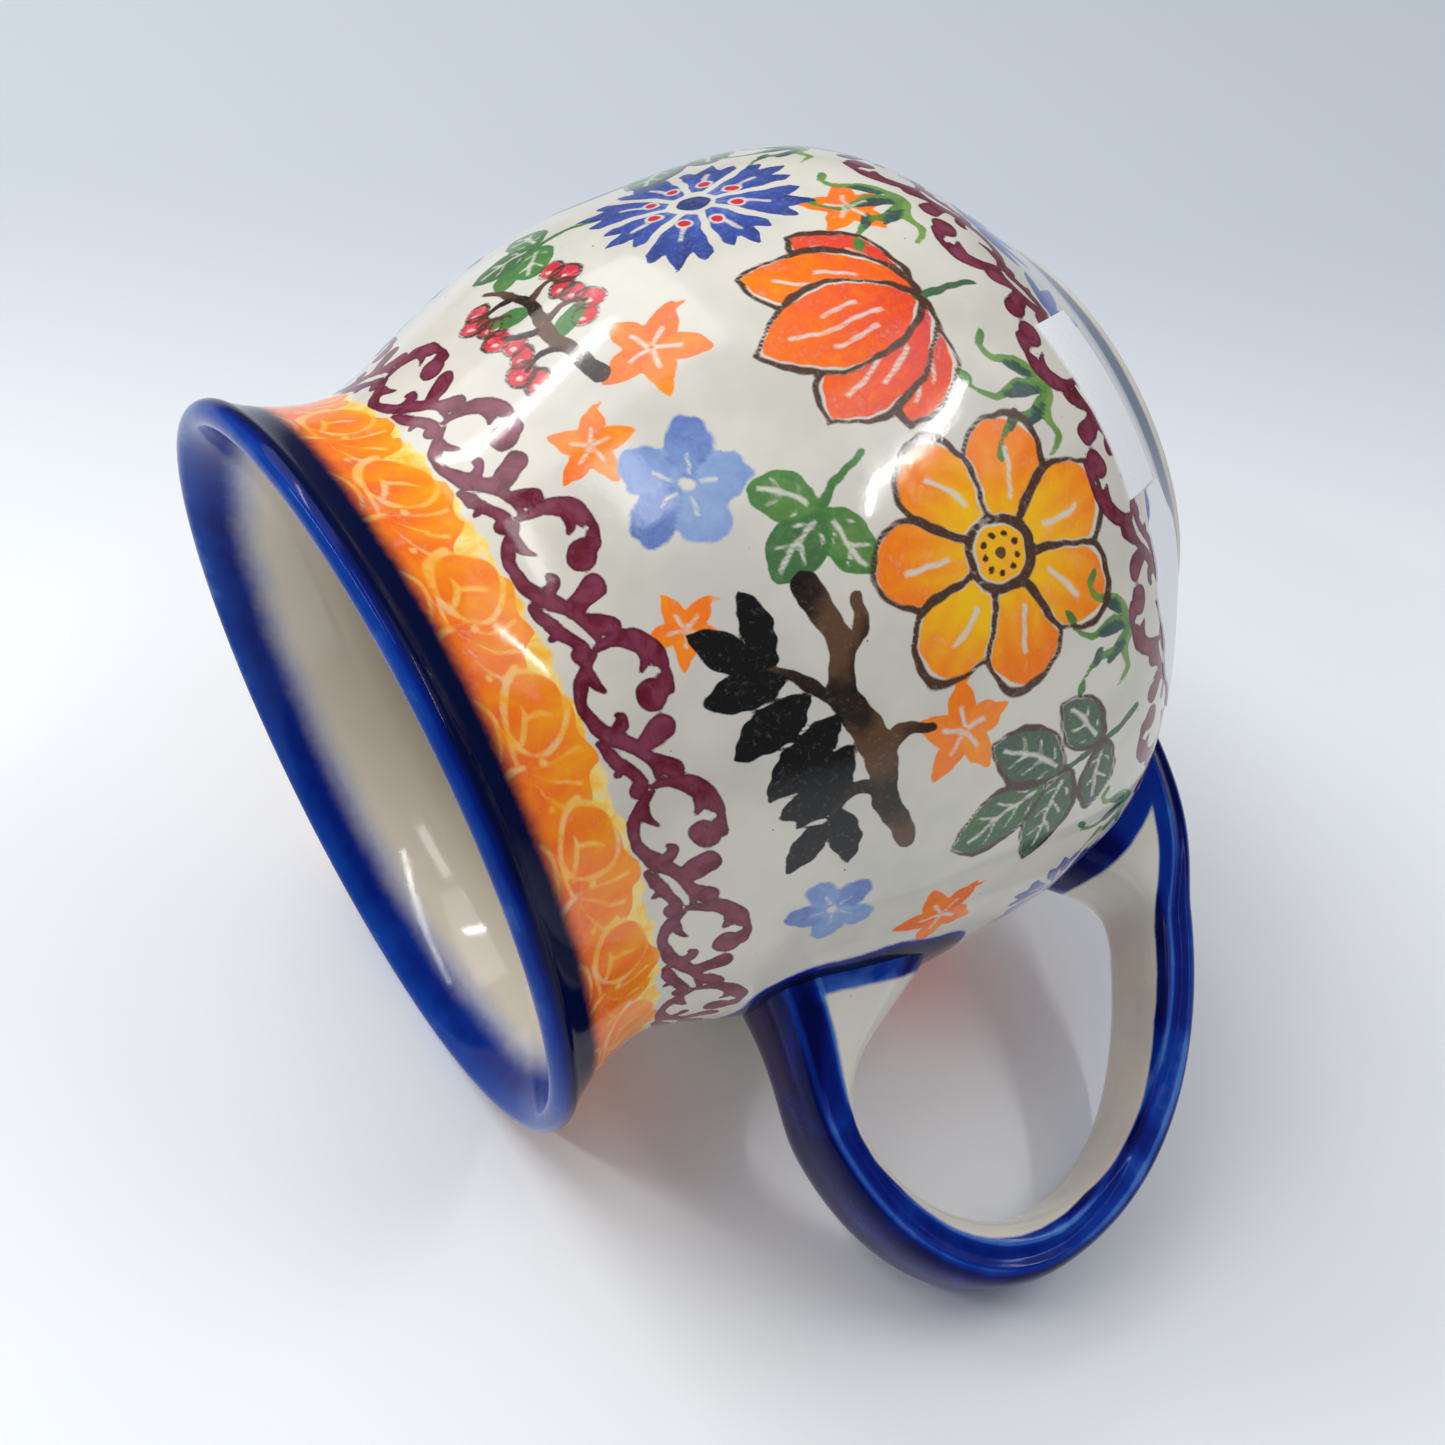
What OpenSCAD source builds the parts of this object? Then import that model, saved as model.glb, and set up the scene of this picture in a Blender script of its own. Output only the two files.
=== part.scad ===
// Stoneware bubble mug with a strap handle.
// The mug stands on its foot at z = 0, its axis is Z and the handle points to -X.

/* [Body] */
// Height from the table to the top of the lip
mug_h = 101; // [97:0.5:115]
// Diameter of the foot at the table
foot_d = 60.6; // [56:0.2:68]
// Slope of the wall where it leaves the foot, from the vertical
foot_angle = 46.7; // [38:0.1:52]
// Diameter of the belly at its widest
belly_d = 103.8; // [100:0.2:112]
// Height of the widest part of the belly
belly_z = 48; // [44:0.5:52]
// Diameter of the neck at its narrowest, outside
neck_d = 84.4; // [78:0.2:90]
// Drop from the top of the lip to the narrowest part of the neck
neck_drop = 15.9; // [13:0.1:19]
// Diameter of the mouth over the rounded lip
lip_d = 95; // [91:0.2:100]
// Slope of the flare just under the lip, from the vertical
lip_angle = 46.6; // [34:0.1:54]
// Thickness of the rounded lip
lip_t = 3.4; // [2.8:0.1:4.4]
// Thickness of the wall from the neck to the belly
wall = 4; // [3.2:0.1:5]
// Thickness of the floor, from the underside of the recess to the cup's floor
floor_t = 4.8; // [4:0.1:7]
// Radius of the flat part of the cup's floor
floor_r = 13; // [8:0.5:18]

/* [Foot] */
// Width of the ring that the mug stands on
foot_ring_w = 4.2; // [3:0.1:7]
// Depth of the recess under the floor
recess_d = 1.4; // [0.6:0.1:2.2]
// Rounding of the foot's outer edge
foot_edge = 0.8; // [0.4:0.1:1.2]

/* [Handle] */
// Distance from the mug's axis to the outermost point of the loop
handle_reach = 90.7; // [86:0.1:98]
// Height of the outermost point of the loop
bow_z = 55.9; // [51:0.1:59]
// Height of the top of the loop
handle_top_z = 74.9; // [72:0.1:78]
// Width of the strap
handle_w = 17; // [14:0.1:20]
// Thickness of the strap at the bow
handle_t = 6.7; // [5.2:0.1:7.8]
// Thickness of the strap along its top
handle_top_t = 5.9; // [4.8:0.1:7]
// Depth of the soft groove along each edge of the strap
edge_groove = 0.3; // [0:0.05:0.5]
// Width of that groove
edge_groove_w = 1.5; // [1:0.1:2.2]
// How flat the strap is: 2 gives an oval, more gives flatter faces
strap_power = 3.2; // [2.4:0.1:4]

/* [Joints] */
// Height of the upper joint's top edge
upper_root_z = 71.9; // [69:0.1:73]
// Height of the upper joint's lower edge
upper_root_low = 48.5; // [46:0.1:52]
// Width of the upper joint where it meets the body
upper_root_w = 27; // [22:0.5:30]
// Height of the lower joint's bottom edge
lower_root_z = 8.4; // [7.4:0.1:10]
// Height of the lower joint's top edge
lower_root_top = 31; // [29:0.1:33]
// Width of the lower joint where it meets the body
lower_root_w = 23; // [19:0.5:26]

/* [Labels] */
// Length of the price label around the mug
price_l = 22; // [16:0.5:26]
// Height of the price label up the wall
price_w = 12; // [9:0.5:14]
// Direction of the price label's middle around the axis
price_az = -98.6; // [-102:0.2:-92]
// Height of the price label's middle
price_z = 13.6; // [12.6:0.1:15.4]
// Tilt of the price label on the wall
price_tilt = 5; // [0:0.5:9]
// Length of the oval label around the mug
oval_l = 30; // [24:0.5:33]
// Height of the oval label up the wall
oval_w = 20; // [15:0.5:21]
// Direction of the oval label's middle around the axis
oval_az = -134; // [-139:0.5:-133]
// Height of the oval label's middle
oval_z = 10.6; // [10:0.1:12]
// Number of waves round the oval label's edge
oval_waves = 10; // [6:1:14]
// Depth of those waves
oval_wave_d = 0.8; // [0:0.1:1.2]
// Thickness of the label paper
label_t = 0.2; // [0.15:0.05:0.4]

/* [Hidden] */
$fn = 120;
eps = 0.01;

// Lengths of the curve handles that set how full each bend of the body is
foot_pull = 28.2;
belly_pull_low = 29.9;
belly_pull_high = 17.7;
neck_pull_low = 5.8;
neck_pull_high = 5.2;
lip_pull = 2;
floor_pull = 22;

foot_r = foot_d / 2;
belly_r = belly_d / 2;
neck_r = neck_d / 2;
neck_z = mug_h - neck_drop;
lip_r = lip_t / 2;
lip_mid = [lip_d / 2 - lip_r, mug_h - lip_r];
cup_floor_z = recess_d + floor_t;

function bez(p, t) =
    pow(1 - t, 3) * p[0] + 3 * t * pow(1 - t, 2) * p[1]
    + 3 * t * t * (1 - t) * p[2] + pow(t, 3) * p[3];
function bez_dir(p, t) =
    let(d = pow(1 - t, 2) * (p[1] - p[0]) + 2 * t * (1 - t) * (p[2] - p[1])
        + t * t * (p[3] - p[2]))
    d / norm(d);
// Right-hand side of a curve that climbs, which is the outside of the wall
function bez_out(p, t) = let(d = bez_dir(p, t)) [d[1], -d[0]];

// Outside of the wall, in three smooth pieces: foot to belly, belly to neck, neck to lip
low_curve = [
    [foot_r, foot_edge],
    [foot_r + foot_pull * sin(foot_angle), foot_edge + foot_pull * cos(foot_angle)],
    [belly_r, belly_z - belly_pull_low],
    [belly_r, belly_z]
];
mid_curve = [
    [belly_r, belly_z],
    [belly_r, belly_z + belly_pull_high],
    [neck_r, neck_z - neck_pull_low],
    [neck_r, neck_z]
];
lip_out = lip_mid + lip_r * [cos(lip_angle), -sin(lip_angle)];
flare_curve = [
    [neck_r, neck_z],
    [neck_r, neck_z + neck_pull_high],
    lip_out - lip_pull * [sin(lip_angle), cos(lip_angle)],
    lip_out
];
// Inside of the cup below the belly
cup_curve = [
    [belly_r - wall, belly_z],
    [belly_r - wall, belly_z - belly_pull_low],
    [floor_r + floor_pull, cup_floor_z],
    [floor_r, cup_floor_z]
];

low_n = 30;
mid_n = 22;
flare_n = 12;
lip_n = 10;

outer_wall = concat(
    [for (i = [0:low_n - 1]) bez(low_curve, i / low_n)],
    [for (i = [0:mid_n - 1]) bez(mid_curve, i / mid_n)],
    [for (i = [0:flare_n]) bez(flare_curve, i / flare_n)]
);
function lip_point(a) = lip_mid + lip_r * [cos(a), sin(a)];
lip_arc = concat(
    [for (i = [1:lip_n]) lip_point(-lip_angle + (90 + lip_angle) * i / lip_n)],
    [for (i = [1:lip_n / 2]) lip_point(90 + (90 - lip_angle) * i / (lip_n / 2))]
);
inner_wall = concat(
    [for (i = [flare_n - 1:-1:1])
        let(t = i / flare_n)
        bez(flare_curve, t) - (wall + (lip_t - wall) * t) * bez_out(flare_curve, t)],
    [for (i = [mid_n:-1:1]) bez(mid_curve, i / mid_n) - wall * bez_out(mid_curve, i / mid_n)],
    [for (i = [0:low_n]) bez(cup_curve, i / low_n)]
);
foot_arc = [
    for (i = [0:4])
        let(a = -90 + 18 * i) [foot_r - foot_edge, foot_edge] + foot_edge * [cos(a), sin(a)]
];
recess_r = foot_r - foot_ring_w - recess_d;

// Radius of the outside of the wall at a height
function body_r(z) = lookup(z, [for (p = outer_wall) [p[1], p[0]]]);
// Height on the lowest curve where the wall has a label's middle
function low_t(z) = lookup(z, [for (i = [0:low_n]) [bez(low_curve, i / low_n)[1], i / low_n]]);

module body_solid() {
    rotate_extrude() polygon(concat([[0, 0]], foot_arc, outer_wall, lip_arc, [[0, mug_h - lip_r]]));
}

module mug_body() {
    color("#dedad2") rotate_extrude() polygon(concat(
        [[0, recess_d], [recess_r, recess_d], [foot_r - foot_ring_w, 0]],
        foot_arc, outer_wall, lip_arc, inner_wall, [[0, cup_floor_z]]
    ));
}

// The strap runs between an outer and an inner curve, each in four pieces:
// upper joint to top, top to bow, bow to lower arm, lower arm to lower joint.
root_sink = 2.4;
bow_full = 0.6;
bow_full_in_x = 0.57;
bow_full_in_z = 0.55;
// How far the top of the loop stands off the belly, and the lower arm off the wall beside it
top_out = 13;
arm_out = 15.5;
arm_z = 17.1;
arm_t = 7.6;
// How far the top and the bow of the inner curve lag behind those of the outer curve
inner_top_lag = 0.7;
inner_bow_lag = 4;
inner_arm_lag = 0.4;
// Lengths of the curve handles along the strap
root_rise = 0.4;
root_pull = 9.6;
top_pull = 5.6;
root_rise_in = 9;
root_pull_in = 9.6;
top_pull_in = 10.3;
top_dip_in = 0.2;
bow_pull = 19.8;
bow_pull_in = 12.2;
arm_pull_x = 11.4;
arm_pull_z = 5.8;
arm_pull_in_x = 12.4;
arm_pull_in_z = 7.1;
end_pull_x = 5.3;
end_pull_z = 3;
end_pull_in_x = 5.1;
end_pull_in_z = 2.2;
end_reach = 9.2;
end_reach_in = 6.2;
end_drop_in = 0.9;

top_x = belly_r + top_out;
inner_top_x = top_x + inner_top_lag;
arm_x = body_r(arm_z) + arm_out;
inner_arm_x = arm_x + inner_arm_lag;
inner_arm_z = arm_z + arm_t;
inner_reach = handle_reach - handle_t;
inner_top_z = handle_top_z - handle_top_t;
inner_bow_z = bow_z - inner_bow_lag;

outer_strap = [
    [[body_r(upper_root_z) - root_sink, upper_root_z],
        [top_x - root_pull, upper_root_z + root_rise],
        [top_x - top_pull, handle_top_z], [top_x, handle_top_z]],
    [[top_x, handle_top_z], [top_x + bow_full * (handle_reach - top_x), handle_top_z],
        [handle_reach, bow_z + bow_full * (handle_top_z - bow_z)], [handle_reach, bow_z]],
    [[handle_reach, bow_z], [handle_reach, bow_z - bow_pull],
        [arm_x + arm_pull_x, arm_z + arm_pull_z], [arm_x, arm_z]],
    [[arm_x, arm_z], [arm_x - end_pull_x, arm_z - end_pull_z],
        [arm_x - end_reach, lower_root_z],
        [body_r(lower_root_z) - root_sink, lower_root_z]]
];
inner_strap = [
    [[body_r(upper_root_low) - root_sink, upper_root_low],
        [inner_top_x - root_pull_in, upper_root_low + root_rise_in],
        [inner_top_x - top_pull_in, inner_top_z - top_dip_in], [inner_top_x, inner_top_z]],
    [[inner_top_x, inner_top_z],
        [inner_top_x + bow_full_in_x * (inner_reach - inner_top_x), inner_top_z],
        [inner_reach, inner_bow_z + bow_full_in_z * (inner_top_z - inner_bow_z)],
        [inner_reach, inner_bow_z]],
    [[inner_reach, inner_bow_z], [inner_reach, inner_bow_z - bow_pull_in],
        [inner_arm_x + arm_pull_in_x, inner_arm_z + arm_pull_in_z], [inner_arm_x, inner_arm_z]],
    [[inner_arm_x, inner_arm_z],
        [inner_arm_x - end_pull_in_x, inner_arm_z - end_pull_in_z],
        [inner_arm_x - end_reach_in, inner_arm_z - end_drop_in],
        [body_r(lower_root_top) - root_sink, lower_root_top]]
];

// How far the slip joints reach along the strap, off the wall
upper_joint_out = 2.8;
lower_joint_out = 2.6;
function off_wall(k, t) =
    let(c = (bez(outer_strap[k], t) + bez(inner_strap[k], t)) / 2) c[0] - body_r(c[1]);
// Where the slip joints end and the strap proper begins, along the first and last pieces
upper_split = lookup(upper_joint_out, [for (i = [0:50]) [off_wall(0, i / 50), i / 50]]);
lower_split = lookup(lower_joint_out, [for (i = [50:-1:0]) [off_wall(3, i / 50), i / 50]]);
seg_n = [16, 14, 16, 16];
ring_n = 40;

function half_w(k, t) =
    handle_w / 2
    + (k == 0 ? (upper_root_w - handle_w) / 2 * pow(1 - t, 3.2) : 0)
    + (k == 3 ? (lower_root_w - handle_w) / 2 * pow(t, 3.2) : 0);
function sgn_pow(v, e) = sign(v) * pow(abs(v), e);
// One closed ring of points across the strap
function ring(k, t) =
    let(o = bez(outer_strap[k], t), i = bez(inner_strap[k], t), c = (o + i) / 2,
        h = norm(o - i) / 2, n = (o - i) / (2 * h), w = half_w(k, t))
    [for (j = [0:ring_n - 1])
        let(a = 360 * j / ring_n,
            v = h * sgn_pow(sin(a), 2 / strap_power),
            u = w * sgn_pow(cos(a), 2 / strap_power),
            g = edge_groove * exp(-pow(v / edge_groove_w, 2)) * sign(u),
            q = c + v * n)
        [-q[0], u - g, q[1]]];

// Closed skin over a list of rings
module skin(rings) {
    m = len(rings);
    n = len(rings[0]);
    sides = [for (s = [0:m - 2], j = [0:n - 1])
        let(a = s * n + j, b = s * n + (j + 1) % n)
        each [[a, b, b + n], [a, b + n, a + n]]];
    ends = [[for (j = [n - 1:-1:0]) j], [for (j = [0:n - 1]) (m - 1) * n + j]];
    polyhedron(points = [for (r = rings) each r], faces = concat(sides, ends), convexity = 6);
}

module handle() {
    rings = concat(
        [for (i = [0:seg_n[0] - 1])
            ring(0, upper_split + (1 - upper_split) * i / seg_n[0])],
        [for (k = [1:2], i = [0:seg_n[k] - 1]) ring(k, i / seg_n[k])],
        [for (i = [0:seg_n[3]]) ring(3, lower_split * i / seg_n[3])]
    );
    color("#1a3a96") skin(rings);
}

joint_n = 7;

module upper_joint() {
    color("#122a78") difference() {
        skin([for (i = [0:joint_n]) ring(0, upper_split * i / joint_n)]);
        body_solid();
    }
}

module lower_joint() {
    color("#122a78") difference() {
        skin([for (i = [0:joint_n]) ring(3, lower_split + (1 - lower_split) * i / joint_n)]);
        body_solid();
    }
}

// A skin of paper over the lower wall, from which both labels are cut
paper_n = 22;
module paper_shell() {
    rotate_extrude() polygon(concat(
        [for (i = [0:paper_n]) bez(low_curve, i / low_n)],
        [for (i = [paper_n:-1:0])
            bez(low_curve, i / low_n) + label_t * bez_out(low_curve, i / low_n)]
    ));
}

// Depth of the block that cuts a label out of the paper, and the gap between the two labels
label_block = 16;
label_gap = 0.3;
// Stands a flat outline on the wall at a height and a direction, facing along the wall's normal
module on_wall(az, z, tilt) {
    t = low_t(z);
    p = bez(low_curve, t);
    d = bez_dir(low_curve, t);
    rotate([0, 0, az]) translate([p[0], 0, p[1]])
        rotate([0, 90 + atan2(d[0], d[1]), 0]) rotate([0, 0, 90 + tilt])
        linear_extrude(height = label_block, center = true) children();
}

module price_label() {
    color("#eef0f2") intersection() {
        paper_shell();
        on_wall(price_az, price_z, price_tilt) square([price_l, price_w], center = true);
    }
}

module oval_label() {
    color("#f2f3f4") difference() {
        intersection() {
            paper_shell();
            on_wall(oval_az, oval_z, 0) polygon([
                for (a = [0:4:356])
                    let(r = 1 - 2 * oval_wave_d / oval_w * (0.5 - 0.5 * cos(oval_waves * a)))
                    [oval_l / 2 * r * cos(a), oval_w / 2 * r * sin(a)]
            ]);
        }
        on_wall(price_az, price_z, price_tilt)
            square([price_l, price_w] + 2 * [label_gap, label_gap], center = true);
    }
}

mug_body();
handle();
upper_joint();
lower_joint();
price_label();
oval_label();
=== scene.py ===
import math

import bpy
import numpy as np
from mathutils import Matrix


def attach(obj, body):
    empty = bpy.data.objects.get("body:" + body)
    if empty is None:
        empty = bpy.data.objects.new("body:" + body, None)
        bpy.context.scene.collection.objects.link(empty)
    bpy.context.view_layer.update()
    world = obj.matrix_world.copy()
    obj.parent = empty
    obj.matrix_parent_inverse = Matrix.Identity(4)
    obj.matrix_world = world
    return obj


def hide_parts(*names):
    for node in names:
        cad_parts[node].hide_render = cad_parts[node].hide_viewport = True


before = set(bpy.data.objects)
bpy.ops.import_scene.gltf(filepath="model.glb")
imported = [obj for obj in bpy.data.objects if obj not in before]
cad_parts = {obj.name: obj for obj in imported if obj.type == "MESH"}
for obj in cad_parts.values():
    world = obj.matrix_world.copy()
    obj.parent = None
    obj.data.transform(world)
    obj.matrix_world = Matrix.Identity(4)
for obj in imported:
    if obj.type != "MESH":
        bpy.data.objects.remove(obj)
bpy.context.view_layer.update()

mm = 0.001
scene = bpy.context.scene


def unit(v):
    return v / np.linalg.norm(v)


def addObject(name, data):
    made = bpy.data.objects.new(name, data)
    scene.collection.objects.link(made)
    return made


def stand(holder, right, up, back, at):
    # puts an object at a place, with its own x, y and z along three directions
    holder.matrix_world = Matrix([(right[k], up[k], back[k], at[k]) for k in range(3)] + [(0, 0, 0, 1)])


# camera, floor, air and lamps, in metres from the middle of the mug's foot
stage = {
    "cameraAt": (-0.04751, -0.24923, 0.14632),
    "cameraAim": (-0.01323, 0.00387, 0.05582),
    "cameraRoll": -117.0,
    "lens": 53.43,
    # the mug lies on its belly, lip and handle, so the floor stands aslant beside it
    "floorUp": (0.498, -0.862, -0.0926),
    "floorOff": -0.05645,
    "floorHalf": 1.1,
    "floorColour": (0.865, 0.89, 0.915),
    # painted shade: the floor's colour far from the camera, darker to stand in for the light falling off
    "floorFarPaintedShade": (0.545, 0.585, 0.645),
    "airColour": (0.92, 0.96, 1.0),
    "air": 0.40,
    "airInGloss": 0.16,
    "beyond": 0.86,
    "lampAim": (0, 0, 0.05),
    "lampReach": 0.75,
}


def makeCamera():
    at, aim = np.array(stage["cameraAt"]), np.array(stage["cameraAim"])
    ahead = unit(aim - at)
    side = unit(np.cross(ahead, (0, 0, 1)))
    over = np.cross(side, ahead)
    roll = math.radians(stage["cameraRoll"])
    right = math.cos(roll) * side + math.sin(roll) * over
    up = np.cross(right, ahead)
    camera = bpy.data.cameras.new("mugCamera")
    camera.sensor_width = 36
    camera.lens = stage["lens"]
    camera.clip_start = 0.01
    scene.camera = addObject("mugCamera", camera)
    stand(scene.camera, right, up, -ahead, at)
    return ahead


cameraAhead = makeCamera()
floorUp = unit(np.array(stage["floorUp"]))
floorRight = unit(np.cross(unit(cameraAhead - (cameraAhead @ floorUp) * floorUp), floorUp))
floorAway = np.cross(floorUp, floorRight)
print("camera set")


class Wire:
    # one output of a node; sums on wires add Math nodes
    def __init__(self, tree, socket=None):
        self.tree, self.socket = tree, socket

    def node(self, kind, settings=(), inputs=(), out=0):
        made = self.tree.nodes.new(kind)
        for name, value in dict(settings).items():
            if name == "stops":
                ramp = made.color_ramp
                while len(ramp.elements) < len(value):
                    ramp.elements.new(0.5)
                for element, (place, colour) in zip(ramp.elements, value):
                    element.position, element.color = place, (*colour, 1)
            else:
                setattr(made, name, value)
        for name, value in dict(inputs).items():
            socket = made.inputs[name]
            if isinstance(value, Wire):
                self.tree.links.new(value.socket, socket)
            elif isinstance(value, (tuple, list)) and socket.type == "RGBA":
                socket.default_value = (*value, 1)
            else:
                socket.default_value = value
        return Wire(self.tree, made.outputs[out] if made.outputs else None)

    def sum(self, operation, *values):
        return self.node("ShaderNodeMath", {"operation": operation}, enumerate(values))

    def __add__(self, other):
        return self.sum("ADD", self, other)

    def __sub__(self, other):
        return self.sum("SUBTRACT", self, other)

    def __rsub__(self, other):
        return self.sum("SUBTRACT", other, self)

    def __mul__(self, other):
        return self.sum("MULTIPLY", self, other)

    __radd__, __rmul__ = __add__, __mul__

    def __abs__(self):
        return self.sum("ABSOLUTE", self)

    def over(self, low, high, first=0.0, last=1.0):
        # eases from first to last as the wire goes from low to high
        return self.node("ShaderNodeMapRange", {"interpolation_type": "SMOOTHSTEP"},
                         {"Value": self, "From Min": low, "From Max": high,
                          "To Min": first, "To Max": last})

    def mix(self, other, share):
        return self.node("ShaderNodeMix", {"data_type": "RGBA"}, {0: share, 6: self, 7: other}, 2)

    def between(self, first, last):
        # a colour that turns from first to last as the wire goes from 0 to 1
        return self.node("ShaderNodeMix", {"data_type": "RGBA"}, {0: self, 6: first, 7: last}, 2)

    def ramp(self, *stops):
        return self.node("ShaderNodeValToRGB", {"stops": stops}, {"Fac": self})


def newFinish(name):
    finish = bpy.data.materials.new(name)
    finish.use_nodes = True
    finish.node_tree.nodes.clear()
    return finish, Wire(finish.node_tree)


def placeOn(start):
    return start.node("ShaderNodeTexCoord", out=3)


def millimetres(start):
    return start.node("ShaderNodeVectorMath", {"operation": "SCALE"}, {0: placeOn(start), "Scale": 1000.0})


def field(start, name):
    return start.node("ShaderNodeAttribute", {"attribute_name": name}, out=2)


def noise(start, where, scale, detail=2.0, rough=0.5, warp=0.0):
    return start.node("ShaderNodeTexNoise", (), {"Vector": where, "Scale": scale, "Detail": detail,
                                                 "Roughness": rough, "Distortion": warp})


def bumpy(start, height, strength, distance):
    return start.node("ShaderNodeBump", (), {"Strength": strength, "Distance": distance, "Height": height})


def surface(start, shader):
    start.node("ShaderNodeOutputMaterial", (), {"Surface": shader})


def dullSurface(start, colour, rough, bump):
    inputs = {"Base Color": colour, "Roughness": rough, "Normal": bump}
    surface(start, start.node("ShaderNodeBsdfPrincipled", (), inputs))


def linear(level):
    # one 8-bit colour level as light
    return level / 255 / 12.92 if level <= 10 else ((level / 255 + 0.055) / 1.055) ** 2.4


def storeField(mesh, name, values):
    made = mesh.attributes.new(name, "FLOAT", "POINT")
    made.data.foreach_set("value", values.reshape(-1).astype(np.float32))


def storeSheet(mesh, across, along):
    # the flat sheet that the finishes are baked on
    sheet = np.stack([np.concatenate(across), np.concatenate(along)], 1).reshape(-1).astype(np.float32)
    mesh.uv_layers.new(name="OFBake").data.foreach_set("uv", sheet)


def runAlong(chain):
    # how far along a flat chain of points each one lies
    return np.r_[0, np.cumsum(np.hypot(*np.diff(chain, axis=0).T))]


# the thrown body, in millimetres, as a row of rings; a pull is the length of a curve's handle
body = {
    "height": 101.0, "footRadius": 30.3, "footEdge": 0.8, "footAngle": 46.7, "footPull": 28.2,
    "bellyRadius": 51.9, "bellyHeight": 48.0, "bellyPullDown": 29.9, "bellyPullUp": 17.7,
    "neckRadius": 42.2, "neckDrop": 15.9, "neckPullDown": 5.8, "neckPullUp": 5.2,
    "lipRadius": 47.5, "lipRound": 1.7, "lipAngle": 46.6, "lipPull": 2.0, "lipRings": 17,
    "wall": 4.0, "cupFloor": 6.2, "cupFlat": 13.0, "cupPull": 22.0,
    "recess": 1.4, "ringWidth": 4.2,
    "sides": 800, "paintStep": 0.4, "insideStep": 2.0,
}


def bend(points, t):
    p, t = np.array(points, float), np.asarray(t, float)[..., None]
    return (1 - t) ** 3 * p[0] + 3 * t * (1 - t) ** 2 * p[1] + 3 * t * t * (1 - t) * p[2] + t ** 3 * p[3]


def bendOut(points, t):
    p, t = np.array(points, float), np.asarray(t, float)[..., None]
    d = (1 - t) ** 2 * (p[1] - p[0]) + 2 * t * (1 - t) * (p[2] - p[1]) + t * t * (p[3] - p[2])
    d = d / np.linalg.norm(d, axis=-1, keepdims=True)
    return np.stack([d[..., 1], -d[..., 0]], -1)


def evenly(path, step):
    run = runAlong(path)
    at = np.linspace(0, run[-1], max(2, int(round(run[-1] / step)) + 1))
    return np.stack([np.interp(at, run, path[:, 0]), np.interp(at, run, path[:, 1])], 1)


def wallCurves():
    b = body
    foot, lean = math.radians(b["footAngle"]), math.radians(b["lipAngle"])
    neck = b["height"] - b["neckDrop"]
    lip = np.array([b["lipRadius"] - b["lipRound"], b["height"] - b["lipRound"]])
    lipOut = lip + b["lipRound"] * np.array([math.cos(lean), -math.sin(lean)])
    lipPull = lipOut - b["lipPull"] * np.array([math.sin(lean), math.cos(lean)])
    belly, inner = b["bellyRadius"], b["bellyRadius"] - b["wall"]
    low = [(b["footRadius"], b["footEdge"]),
           (b["footRadius"] + b["footPull"] * math.sin(foot), b["footEdge"] + b["footPull"] * math.cos(foot)),
           (belly, b["bellyHeight"] - b["bellyPullDown"]), (belly, b["bellyHeight"])]
    mid = [low[3], (belly, b["bellyHeight"] + b["bellyPullUp"]),
           (b["neckRadius"], neck - b["neckPullDown"]), (b["neckRadius"], neck)]
    flare = [mid[3], (b["neckRadius"], neck + b["neckPullUp"]), tuple(lipPull), tuple(lipOut)]
    cup = [(inner, b["bellyHeight"]), (inner, b["bellyHeight"] - b["bellyPullDown"]),
           (b["cupFlat"] + b["cupPull"], b["cupFloor"]), (b["cupFlat"], b["cupFloor"])]
    return low, mid, flare, cup, lip


def underRows():
    # the underside's recess and the ring that the mug stands on
    b = body
    flat = b["footRadius"] - b["ringWidth"]
    recess = [(r, b["recess"]) for r in (6, 12, 18, flat - b["recess"] - 0.6)]
    corner = [(flat - b["recess"], b["recess"] - 0.15), (flat - 0.5, 0.45), (flat - 0.1, 0.1)]
    edge = np.radians(np.linspace(-90, -14, 5))
    foot = np.stack([b["footRadius"] - b["footEdge"] + b["footEdge"] * np.cos(edge),
                     b["footEdge"] + b["footEdge"] * np.sin(edge)], 1)
    return np.vstack([recess, corner, [(flat + 0.4, 0.0), (flat + 1.8, 0.0)], foot])


def wallRows():
    # rings from the middle of the underside, up the outside, over the lip and down to the cup's floor
    b = body
    low, mid, flare, cup, lip = wallCurves()
    t = np.linspace(0, 1, 200)
    under = underRows()
    outside = evenly(np.vstack([bend(low, t), bend(mid, t)[1:], bend(flare, t)[1:]]), b["paintStep"])
    turn = np.radians(np.linspace(-b["lipAngle"], 180 - b["lipAngle"], b["lipRings"] + 2)[1:-1])
    roll = lip + b["lipRound"] * np.stack([np.cos(turn), np.sin(turn)], 1)
    thick = (b["wall"] + (2 * b["lipRound"] - b["wall"]) * t)[:, None]
    inside = evenly(np.vstack([
        (bend(flare, t) - thick * bendOut(flare, t))[::-1],
        (bend(mid, t) - b["wall"] * bendOut(mid, t))[::-1][1:], bend(cup, t)[1:]]), b["insideStep"])
    floor = np.array([(r, b["cupFloor"]) for r in (9, 5, 2)])
    rows = np.vstack([under, outside, roll, inside, floor])
    run = runAlong(rows)
    return rows, run - run[len(under)], len(under), len(under) + len(outside) + len(roll)


rows, climbOfRow, firstPainted, firstInside = wallRows()
sides = body["sides"]
outerRows = rows[firstPainted:firstInside - body["lipRings"]]


def climbAt(height):
    # how far up along the wall a height lies
    return float(np.interp(height, outerRows[:, 1], climbOfRow[firstPainted:firstPainted + len(outerRows)]))


def wallRadius(height):
    return np.interp(height, outerRows[:, 1], outerRows[:, 0])


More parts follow.
